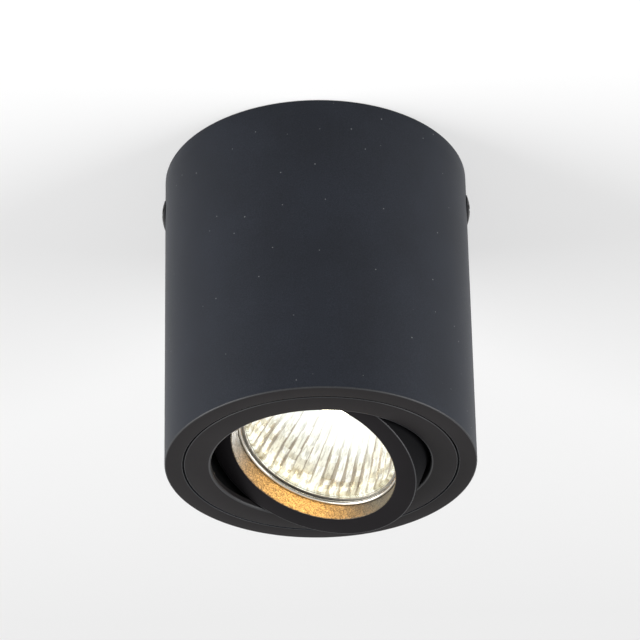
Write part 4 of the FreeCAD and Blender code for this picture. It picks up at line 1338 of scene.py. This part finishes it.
@dataclass
class WireClip:
    """The open wire clip that holds the lamp in its ring."""

    radius: float = 25.28
    wire: float = 0.7
    level: float = -1.16
    gap: float = 24.0
    gap_place: float = 146.0
    sides: int = 16
    steps: int = 160
    home: Home = Home(Body.HEAD, "clip_steel", ("lamp_clip",))

    def build(self) -> None:
        """Makes the clip: a round wire swept round to its gap, with closed ends."""
        mesh = bmesh.new()
        place = Matrix.Translation((self.radius * MM, 0.0, self.level * MM))
        upright = place @ Matrix.Rotation(math.pi / 2, 4, "X")
        ring = bmesh.ops.create_circle(
            mesh, cap_ends=False, segments=self.sides, radius=self.wire * MM, matrix=upright
        )["verts"]
        bmesh.ops.spin(
            mesh, geom=[*ring, *mesh.edges], cent=ORIGIN, axis=UPWARDS, dvec=ORIGIN,
            angle=math.radians(360.0 - self.gap), steps=self.steps, use_merge=False,
        )
        close_ends(mesh)
        start = Matrix.Rotation(math.radians(self.gap_place + self.gap / 2), 4, "Z")
        put("wire_clip", moved(mesh, head_frame() @ start), [CLIP_WIRE], self.home)


@dataclass
class Lamp:
    """The reflector lamp's bowl and front glass."""

    radius: float = 25.3
    front: float = -0.41
    rim_back: float = 2.19
    shoulder: float = 24.2
    curve: float = 42.0
    neck: float = 9.8
    neck_start: float = 25.99
    neck_end: float = 27.99
    neck_bore: float = 6.0
    vertex: float = 24.99
    mirror: float = 23.0
    mirror_front: float = 1.14
    glass: float = 23.95
    glass_back: float = 1.09
    glass_gap: float = 0.05
    mirror_steps: int = 16
    back_steps: int = 14
    flutes: int = 44
    flute_steps: int = 6
    flute_depth: float = 0.55
    flute_full_at: float = 12.0
    rim_fade: float = 8.0
    neck_fade: float = 4.0
    bowl_home: Home = Home(Body.HEAD, "reflector", ("lamp_reflector",))
    glass_home: Home = Home(Body.HEAD, "cover_glass", ("lamp_cover_glass",))

    def mirror_line(self) -> list[Corner]:
        """Draws the section of the mirror.

        Returns:
            Its corners from the neck to the rim.
        """
        return arc_corners(
            Corner(self.neck_bore, self.vertex), Corner(self.mirror, self.mirror_front),
            self.curve, self.mirror_steps,
        )

    def bowl(self) -> Mesh:
        """Turns the bowl, and works the flutes into its mirror.

        Returns:
            The bowl, whose mirror's faces have material number 1 and a map of the flutes.
        """
        line = self.mirror_line()
        back = arc_corners(
            Corner(self.shoulder, self.rim_back), Corner(self.neck, self.neck_start),
            self.curve, self.back_steps,
        )
        lip = Corner(self.glass + self.glass_gap, self.front)
        land = Corner(self.glass + self.glass_gap, self.mirror_front)
        mesh = turn([
            lip,
            Corner(self.radius, self.front, rounding=0.25),
            Corner(self.radius, self.rim_back, rounding=0.3),
            *back,
            Corner(self.neck, self.neck_end, rounding=0.2),
            Corner(self.neck_bore, self.neck_end),
            *line,
            land,
        ], self.flutes * self.flute_steps)
        mirror = {
            vertex: 1.0 - index / (len(line) - 1)
            for index, corner in enumerate(line)
            for vertex in mesh.verts if corner.holds(vertex)
        }
        rim = {
            vertex: 0.0 for vertex in mesh.verts if land.holds(vertex) or lip.holds(vertex)
        }
        self.map_flutes(mesh, {**rim, **mirror})
        self.press_flutes(mirror)
        return mesh

    def map_flutes(self, mesh: Mesh, along: Mapping[bmesh.types.BMVert, float]) -> None:
        """Gives the mirror's faces their material and their map of the flutes.

        Args:
            mesh: The bowl.
            along: For the mirror's vertices, how far each lies from rim, 0, to neck, 1.
        """
        flutes = mesh.loops.layers.uv.new("flutes")
        for face in mesh.faces:
            if all(vertex in along for vertex in face.verts):
                face.material_index = 1
                middle = face.calc_center_median()
                centre = math.atan2(middle.y, middle.x)
                for loop in face.loops:
                    spot = loop.vert.co
                    turned = math.remainder(math.atan2(spot.y, spot.x) - centre, math.tau)
                    across = (centre + turned) / math.tau * self.flutes
                    loop[flutes].uv = (across, along[loop.vert])

    def press_flutes(self, along: Mapping[bmesh.types.BMVert, float]) -> None:
        """Presses the flutes into the mirror, shallower towards its rim and its neck.

        Args:
            along: For the mirror's vertices, how far each lies from rim, 0, to neck, 1.
        """
        for vertex, place in along.items():
            angle = math.atan2(vertex.co.y, vertex.co.x)
            share = angle / math.tau * self.flutes % 1.0
            rise = math.sin(math.pi * share) * self.flute_depth * MM
            fade = min(1.0, self.rim_fade * place, self.neck_fade * (1.0 - place))
            away = math.hypot(vertex.co.x, vertex.co.y)
            out = 1.0 + rise * fade * min(1.0, away / (self.flute_full_at * MM)) / away
            vertex.co.x *= out
            vertex.co.y *= out

    def build(self) -> None:
        """Makes the bowl and the glass."""
        put("lamp_bowl_fluted", moved(self.bowl(), head_frame()), [BOWL_BACK, MIRROR],
            self.bowl_home)
        disc = turn([
            Corner(0.0, self.front),
            Corner(self.glass, self.front, rounding=0.25),
            Corner(self.glass, self.glass_back, rounding=0.25),
            Corner(0.0, self.glass_back),
        ])
        disc = moved(disc, head_frame())
        glass = put("lamp_front_glass", disc, [FRONT_GLASS], self.glass_home)
        glass.visible_shadow = False


@dataclass(frozen=True)
class Kept:
    """A part whose shape is kept from the model, as a merged copy with smooth curves.

    Attributes:
        node: The node of the model.
        finish: Its finish.
        slot: The record's material slot.
        body: The body that it moves with.
    """

    node: str
    finish: Finish
    slot: str
    body: Body

    def build(self, nodes: Mapping[str, bpy.types.Object]) -> bpy.types.Object:
        """Makes the copy.

        Args:
            nodes: The model's nodes by name.

        Returns:
            The piece.
        """
        mesh = bmesh.new()
        mesh.from_mesh(nodes[self.node].data)
        bmesh.ops.remove_doubles(mesh, verts=mesh.verts[:], dist=NEAR)
        bmesh.ops.dissolve_degenerate(mesh, dist=SLIVER, edges=mesh.edges[:])
        for face in mesh.faces:
            face.material_index = 0
        home = Home(self.body, self.slot, (self.node,))
        piece = put(f"{self.node}_dressed", mesh, [self.finish], home)
        even_flats(piece)
        return piece


@dataclass
class Fittings:
    """The parts that keep their shape from the model."""

    parts: tuple[Kept, ...] = (
        Kept("mounting_bracket", GALVANISED, "bracket", Body.HOUSING),
        Kept("cable_bush", RUBBER, "bush", Body.HOUSING),
        Kept("terminal_block", POLYAMIDE, "terminal_block", Body.HOUSING),
        Kept("terminal_clamps", BRASS, "clamp_brass", Body.HOUSING),
        Kept("terminal_screws", ZINC, "zinc_screw", Body.HOUSING),
        Kept("terminal_fixing_screws", ZINC, "zinc_screw", Body.HOUSING),
        Kept("earth_screw", ZINC, "zinc_screw", Body.HOUSING),
        Kept("earth_washer", ZINC, "zinc_screw", Body.HOUSING),
        Kept("earth_ring_terminal", TIN, "tinned_copper", Body.HOUSING),
        Kept("retaining_spring_1", SPRING_STRIP, "spring_steel", Body.TRIM),
        Kept("retaining_spring_2", SPRING_STRIP, "spring_steel", Body.TRIM),
        Kept("retaining_spring_3", SPRING_STRIP, "spring_steel", Body.TRIM),
        Kept("spring_rivets", ZINC, "zinc_screw", Body.TRIM),
        Kept("pivot_screw_left", ZINC, "zinc_screw", Body.HEAD),
        Kept("pivot_screw_right", ZINC, "zinc_screw", Body.HEAD),
        Kept("pivot_washers", NYLON, "washer", Body.HEAD),
        Kept("lamp_burner", QUARTZ, "burner_glass", Body.HEAD),
        Kept("lamp_filament", FILAMENT_HEAT, "filament", Body.HEAD),
        Kept("lamp_base", BASE_STEATITE, "lamp_ceramic", Body.HEAD),
        Kept("lamp_pins", NICKEL, "pin_brass", Body.HEAD),
        Kept("lampholder_body", HOLDER_STEATITE, "holder_ceramic", Body.HEAD),
        Kept("lampholder_cap", HOLDER_STEATITE, "holder_ceramic", Body.HEAD),
        Kept("lampholder_contacts", NICKEL, "pin_brass", Body.HEAD),
        Kept("lampholder_screws", ZINC, "zinc_screw", Body.HEAD),
    )

    def build(self, nodes: Mapping[str, bpy.types.Object]) -> None:
        """Makes every part that is kept.

        Args:
            nodes: The model's nodes by name.
        """
        for part in self.parts:
            piece = part.build(nodes)
            if part.finish is QUARTZ:
                piece.visible_shadow = False


def swivel_point(along: float, out: float, level: float) -> Vector:
    """Places a point that is given from the swivel axis.

    Args:
        along: How far along the hinge.
        out: How far square to the hinge.
        level: Its height.

    Returns:
        The point in millimetres.
    """
    hinge, square = math.radians(HINGE_AZIMUTH), math.radians(HINGE_AZIMUTH - 90.0)
    return Vector((
        out * math.cos(square) + along * math.cos(hinge),
        out * math.sin(square) + along * math.sin(hinge),
        level,
    ))


def head_point(along: float, across: float, up: float) -> Vector:
    """Places a point that is given in the tilting lamp's frame.

    Args:
        along: How far along the hinge.
        across: How far across it.
        up: How far up the lamp's axis.

    Returns:
        The point in millimetres.
    """
    return head_frame() @ (Vector((along, across, up)) * MM) / MM


@dataclass
class Lead:
    """A silicone sleeved lead, drawn as a smooth tube through its route.

    Attributes:
        name: The piece's name.
        node: The node of the model.
        slot: The record's material slot.
        finish: Its sleeve.
        route: The control points of its line.
        diameter: Across the sleeve.
        sides: How many faces go round it.
        finesse: How many runs the line has for each control point.
    """

    name: str
    node: str
    slot: str
    finish: Finish
    route: Sequence[Vector]
    diameter: float = 1.8
    sides: int = 16
    finesse: int = 12

    def line(self) -> list[Vector]:
        """Reads the points along the route's spline.

        Returns:
            The points in order, in metres.
        """
        curve = bpy.data.curves.new(f"{self.name}_line", "CURVE")
        curve.dimensions = "3D"
        curve.resolution_u = self.finesse
        spline = curve.splines.new("NURBS")
        spline.points.add(len(self.route) - 1)
        for point, place in zip(spline.points, self.route):
            point.co = (*(place * MM), 1.0)
        spline.use_endpoint_u = True
        spline.order_u = 3
        holder = bpy.data.objects.new(f"{self.name}_line", curve)
        data = bpy.data.meshes.new_from_object(holder)
        points = [vertex.co.copy() for vertex in data.vertices]
        bpy.data.objects.remove(holder)
        bpy.data.curves.remove(curve)
        bpy.data.meshes.remove(data)
        return points

    @staticmethod
    def stations(points: Sequence[Vector]) -> list[Matrix]:
        """Stands a frame square to the line at each of its points, without twist.

        Args:
            points: The points of the line, in metres.

        Returns:
            One matrix for each point.
        """
        away = (points[1] - points[0]).normalized()
        turned = away.to_track_quat("Z", "Y")
        frames = []
        for index, point in enumerate(points):
            before, after = points[max(index - 1, 0)], points[min(index + 1, len(points) - 1)]
            heading = (after - before).normalized()
            turned = away.rotation_difference(heading) @ turned
            away = heading
            frames.append(Matrix.Translation(point) @ turned.to_matrix().to_4x4())
        return frames

    def tube(self, points: Sequence[Vector]) -> Mesh:
        """Sweeps a round section along points.

        Args:
            points: The points to follow, in metres.

        Returns:
            A closed tube with a map that runs round the sleeve and along it.
        """
        mesh = bmesh.new()
        place = mesh.verts.layers.float_vector.new("place")
        stations = self.stations(points)
        grown = bmesh.ops.create_circle(
            mesh, cap_ends=False, segments=self.sides, radius=self.diameter / 2 * MM,
            matrix=stations[0],
        )["verts"]
        for side, vertex in enumerate(grown):
            vertex[place] = (side, 0.0, 0.0)
        edges = mesh.edges[:]
        for number, (before, after) in enumerate(zip(stations, stations[1:]), 1):
            made = bmesh.ops.extrude_edge_only(mesh, edges=edges)["geom"]
            grown = [item for item in made if isinstance(item, bmesh.types.BMVert)]
            edges = [item for item in made if isinstance(item, bmesh.types.BMEdge)
                     and item.verts[0] in grown and item.verts[1] in grown]
            bmesh.ops.transform(mesh, matrix=after @ before.inverted(), verts=grown)
            for vertex in grown:
                vertex[place].y = number
        sleeve = mesh.loops.layers.uv.new("sleeve")
        for face in mesh.faces:
            spots = [loop.vert[place] for loop in face.loops]
            wraps = max(spot.x for spot in spots) == self.sides - 1
            for loop, spot in zip(face.loops, spots):
                side = self.sides if wraps and spot.x == 0.0 else spot.x
                loop[sleeve].uv = (side / self.sides, spot.y)
        mesh.verts.layers.float_vector.remove(place)
        close_ends(mesh)
        return mesh


@dataclass
class Wiring:
    """The three leads inside the drum.

    Attributes:
        pole_pitch: The distance between the terminals.
        drop: A lamp lead's way down the drum: for each point the share of its terminal's place
            along X, and its places along Y and Z.
        swivel_run: Its way past the swivel axis: along and square to the hinge, and its level.
        holder_run: Its way into the holder, in the tilting lamp's frame.
        earth_run: The earth lead's way from its terminal to the strap.
        parting: The point of a lamp lead's route where its two runs meet.
    """

    pole_pitch: float = 8.5
    drop: tuple[tuple[float, float, float], ...] = (
        (1.0, -3.6, -6.8),
        (1.0, -9.0, -6.8),
        (0.94, -12.818, -10.618),
        (0.84, -12.818, -16.018),
        (0.67, -9.0, -19.837),
    )
    swivel_run: tuple[tuple[float, float, float], ...] = (
        (1.6, 0.0, -19.937),
        (2.6, 11.0, -21.037),
    )
    holder_run: tuple[tuple[float, float, float], ...] = (
        (4.0, 6.4, 69.54),
        (5.0, 0.0, 65.84),
        (5.0, 0.0, 58.64),
    )
    earth_run: tuple[tuple[float, float, float], ...] = (
        (8.5, -3.6, -6.8),
        (8.5, -11.6, -6.8),
        (15.25, -15.497, -5.3),
        (22.0, -11.6, -3.1),
        (22.0, -4.85, -3.1),
    )
    parting: int = 4

    def lamp_route(self, along: float, side: float) -> list[Vector]:
        """The route from a terminal to the lampholder.

        Args:
            along: The terminal's place along X.
            side: Which way the lead bends, 1 or -1.

        Returns:
            The route's points, in millimetres.
        """
        return [
            *(Vector((share * along, out, level)) for share, out, level in self.drop),
            *(swivel_point(side * at, out, level) for at, out, level in self.swivel_run),
            *(head_point(side * at, across, up) for at, across, up in self.holder_run),
        ]

    def lamp_lead(self, lead: Lead) -> None:
        """Makes a lamp lead in two runs, the upper one past the swivel axis and the lower one
        into the holder; neither is set on a body.

        Args:
            lead: The lead.
        """
        points = lead.line()
        home = Home(None, lead.slot, (lead.node,))
        meeting = lead.route[self.parting] * MM
        cut = min(range(len(points)), key=lambda at: (points[at] - meeting).length)
        upper = put(f"{lead.name}_upper", lead.tube(points[:cut + 1]), [lead.finish], home)
        lower = put(f"{lead.name}_lower", lead.tube(points[cut:]), [lead.finish], home)
        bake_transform(upper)
        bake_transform(lower)

    def build(self) -> None:
        """Makes the leads."""
        live = self.lamp_route(0.0, -1.0)
        neutral = self.lamp_route(-self.pole_pitch, 1.0)
        self.lamp_lead(Lead("live_lead", "live_lead", "live_sleeve", LIVE_SLEEVE, live))
        self.lamp_lead(
            Lead("neutral_lead", "neutral_lead", "neutral_sleeve", NEUTRAL_SLEEVE, neutral)
        )
        earth = Lead("earth_lead_sleeve", "earth_lead", "earth_sleeve", EARTH_SLEEVE,
                     [Vector(point) for point in self.earth_run])
        put(earth.name, earth.tube(earth.line()), [earth.finish],
            Home(Body.HOUSING, earth.slot, (earth.node,)))


# The studio.


@dataclass(frozen=True)
class Glow:
    """A small lamp at the reflector lamp's face, which lights the ring's bore.

    Attributes:
        name: Its name.
        turn_by: Its place round the lamp's axis, in degrees.
        away: Its distance from the axis.
        size: Its diameter.
        power: Its power in watts.
        colour: Its colour.
    """

    name: str
    turn_by: float
    away: float
    size: float
    power: float
    colour: str


@dataclass
class Studio:
    """The ceiling, the soft light, the lamp's own light and the camera.

    The places of the camera, of the soft boxes and of the ceiling's fade are in metres, and
    powers are in watts.

    Attributes:
        lit_by_glow: The collection of what the glow at the lamp's face lights.
    """

    lit_by_glow: bpy.types.Collection

    ceiling_hole: float = 45.6
    ceiling_reach: float = 2400.0
    ceiling_level: float = 0.1
    ceiling_steps: int = 128
    # Painted shade: the ceiling's paint darkens from near the camera to far, in place of the
    # room's light falling off there.
    ceiling_near: str = "FCFCFC"
    ceiling_far_shaded: str = "E6E6E6"
    fade_from: float = -0.1
    fade_to: float = 0.3
    ceiling_lift: float = 0.42
    sky_colour: str = "FFFFFF"
    sky_strength: float = 0.34
    sky_seen: float = 0.93
    box_power: float = 24.5
    right_share: float = 0.9
    box_size: float = 1.2
    box_side: float = 1.3
    box_front: float = -0.34
    box_level: float = -0.6
    box_aim: tuple[float, float, float] = (0.0, 0.0, -0.05)
    camera_place: tuple[float, float, float] = (0.0, -1.0193, -0.6585)
    camera_target: tuple[float, float, float] = (0.000574, 0.0, -0.049459)
    camera_roll: float = -0.0194685
    camera_lens: float = 218.73
    camera_sensor: float = 36.0
    camera_near: float = 0.05
    camera_far: float = 50.0
    glow_level: float = -2.6
    glow_tip: float = 35.0
    glows: tuple[Glow, ...] = (
        Glow("glow_warm", -20.0, 13.0, 16.0, 0.03, "FFCB78"),
        Glow("glow_side", 58.0, 17.0, 6.0, 0.01, "C4D6FF"),
    )
    beam_colour: str = "FFC680"
    beam_power: float = 1.0
    beam_spread: float = 84.0
    beam_blend: float = 0.4
    beam_radius: float = 6.0
    beam_level: float = -0.8

    @staticmethod
    def seen(tree: Tree) -> Socket:
        """Tells the rays that show a surface from those that only carry its light.

        Args:
            tree: The node tree.

        Returns:
            The socket that gives 1 for what the camera, a mirror or glass shows.
        """
        rays = add_node(tree, "LightPath").outputs
        shown = add_node(
            tree, "Math", {0: rays["Is Camera Ray"], 1: rays["Is Glossy Ray"]}, operation="ADD"
        )
        return add_node(
            tree, "Math", {0: shown.outputs[0], 1: rays["Is Transmission Ray"]},
            operation="ADD", use_clamp=True,
        ).outputs[0]

    def ceiling(self) -> None:
        """Makes the ceiling, seen from below only, with a hole over the open drum."""
        mesh = bmesh.new()
        level = self.ceiling_level * MM
        inner = mesh.verts.new((self.ceiling_hole * MM, 0.0, level))
        outer = mesh.verts.new((self.ceiling_reach * MM, 0.0, level))
        spin_round(mesh, [inner, outer, mesh.edges.new((inner, outer))], self.ceiling_steps)
        for face in mesh.faces:
            if face.normal.z > 0.0:
                face.normal_flip()
        ceiling = stand("ceiling", mesh)
        material = bpy.data.materials.new("painted_ceiling")
        ceiling.data.materials.append(material)
        tree = clear_tree(material)
        place = add_node(tree, "TexCoord").outputs["Object"]
        # Painted shade on the ceiling: its tone darkens from near to far.
        depth = add_node(tree, "SeparateXYZ", {"Vector": place}).outputs["Y"]
        share = add_node(
            tree, "MapRange",
            {"Value": depth, "From Min": self.fade_from, "From Max": self.fade_to},
        ).outputs["Result"]
        tone = add_node(
            tree, "ValToRGB", {"Fac": share}, {0.0: self.ceiling_near, 1.0: self.ceiling_far_shaded}
        ).outputs["Color"]
        paint = add_node(tree, "BsdfDiffuse", {"Color": tone, "Roughness": 1.0})
        lift = add_node(tree, "Emission", {"Color": tone, "Strength": 1.0})
        part = add_node(
            tree, "Math", {0: self.seen(tree), 1: self.ceiling_lift}, operation="MULTIPLY"
        )
        paint = add_node(
            tree, "MixShader", {0: part.outputs[0], 1: paint.outputs[0], 2: lift.outputs[0]}
        )
        behind = add_node(tree, "NewGeometry").outputs["Backfacing"]
        clear = add_node(tree, "BsdfTransparent")
        shown = add_node(
            tree, "MixShader", {0: behind, 1: paint.outputs[0], 2: clear.outputs[0]}
        )
        add_node(tree, "OutputMaterial", {"Surface": shown.outputs[0]})

    def sky(self) -> None:
        """Fills the room with even light."""
        world = bpy.data.worlds.new("studio_room")
        tree = clear_tree(world)
        white = linear(self.sky_colour)
        light = add_node(tree, "Background", {"Color": white, "Strength": self.sky_strength})
        wall = add_node(tree, "Background", {"Color": white, "Strength": self.sky_seen})
        both = add_node(
            tree, "MixShader", {0: self.seen(tree), 1: light.outputs[0], 2: wall.outputs[0]}
        )
        add_node(tree, "OutputWorld", {"Surface": both.outputs[0]})
        bpy.context.scene.world = world

    @staticmethod
    def light(name: str, kind: str, place: Matrix, **settings: Any) -> bpy.types.Object:
        """Hangs a lamp that the camera doesn't see.

        Args:
            name: Its name.
            kind: The renderer's word for its kind.
            place: Where it hangs and which way it is turned, in metres.
            **settings: The lamp's own properties.

        Returns:
            The lamp.
        """
        data = bpy.data.lights.new(name, kind)
        for key, value in settings.items():
            setattr(data, key, value)
        lit = bpy.data.objects.new(name, data)
        lit.matrix_world = place
        lit.visible_camera = False
        bpy.context.scene.collection.objects.link(lit)
        return lit

    def soft_box(self, name: str, side: float, power: float) -> None:
        """Hangs a large soft lamp that looks at the drum.

        Args:
            name: Its name.
            side: Where it hangs, -1 on the left or 1 on the right.
            power: Its power.
        """
        place = Vector((side * self.box_side, self.box_front, self.box_level))
        aim = (Vector(self.box_aim) - place).to_track_quat("-Z", "Y")
        self.light(
            name, "AREA", Matrix.Translation(place) @ aim.to_matrix().to_4x4(),
            shape="SQUARE", size=self.box_size, energy=power,
        )

    def glow(self, glow: Glow) -> None:
        """Lights the lamp ring's bore from the lamp's face, and moves with the lamp.

        Args:
            glow: What it is like.
        """
        turned = Matrix.Rotation(math.radians(glow.turn_by), 4, "Z")
        place = Matrix.Translation((glow.away * MM, 0.0, self.glow_level * MM))
        tipped = Matrix.Rotation(math.radians(-self.glow_tip), 4, "Y")
        lit = self.light(
            glow.name, "AREA", head_frame() @ turned @ place @ tipped, shape="DISK",
            size=glow.size * MM, energy=glow.power, color=linear(glow.colour)[:3],
        )
        lit.visible_glossy = False
        lit.light_linking.receiver_collection = self.lit_by_glow
        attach(lit, Body.HEAD.value)

    def beam(self) -> None:
        """The lamp's own beam, which grazes the edge of the aperture."""
        place = Matrix.Translation((0.0, 0.0, self.beam_level * MM))
        lit = self.light(
            "lamp_beam", "SPOT", head_frame() @ place, energy=self.beam_power,
            color=linear(self.beam_colour)[:3], spot_size=math.radians(self.beam_spread),
            spot_blend=self.beam_blend, shadow_soft_size=self.beam_radius * MM,
        )
        lit.visible_glossy = False
        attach(lit, Body.HEAD.value)

    def camera(self) -> None:
        """Sets up the camera as the photograph was taken."""
        place = Vector(self.camera_place)
        ahead = (Vector(self.camera_target) - place).normalized()
        right = ahead.cross(Vector(UPWARDS)).normalized()
        above = right.cross(ahead)
        roll_cos, roll_sin = math.cos(self.camera_roll), math.sin(self.camera_roll)
        across = roll_cos * right + roll_sin * above
        upward = roll_cos * above - roll_sin * right
        data = bpy.data.cameras.new("camera")
        data.lens = self.camera_lens
        data.sensor_width = self.camera_sensor
        data.clip_start = self.camera_near
        data.clip_end = self.camera_far
        camera = bpy.data.objects.new("camera", data)
        turned = Matrix((across, upward, -ahead)).transposed().to_4x4()
        camera.matrix_world = Matrix.Translation(place) @ turned
        bpy.context.scene.collection.objects.link(camera)
        bpy.context.scene.camera = camera

    def build(self) -> None:
        """Makes the whole studio."""
        self.camera()
        self.ceiling()
        self.sky()
        self.soft_box("soft_box_left", -1.0, self.box_power)
        self.soft_box("soft_box_right", 1.0, self.box_power * self.right_share)
        for glow in self.glows:
            self.glow(glow)
        self.beam()
        bpy.context.scene.view_settings.view_transform = "Standard"


def main() -> None:
    """Loads the model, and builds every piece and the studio."""
    logging.basicConfig(level=logging.INFO, format="%(name)s: %(message)s")
    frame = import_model()
    for part in (Drum(), SideScrews(), TrimRing(), LampRing(), WireClip(), Lamp(), Wiring()):
        part.build()
        LOG.info("built %s", type(part).__name__)
    Fittings().build(frame["nodes"])
    lit_by_glow = bpy.data.collections.new("lit_by_glow")
    for name in ("lamp_ring_tilting", "wire_clip", "lamp_bowl_fluted"):
        lit_by_glow.objects.link(bpy.data.objects[name])
    Studio(lit_by_glow).build()


if __name__ == "__main__":
    main()
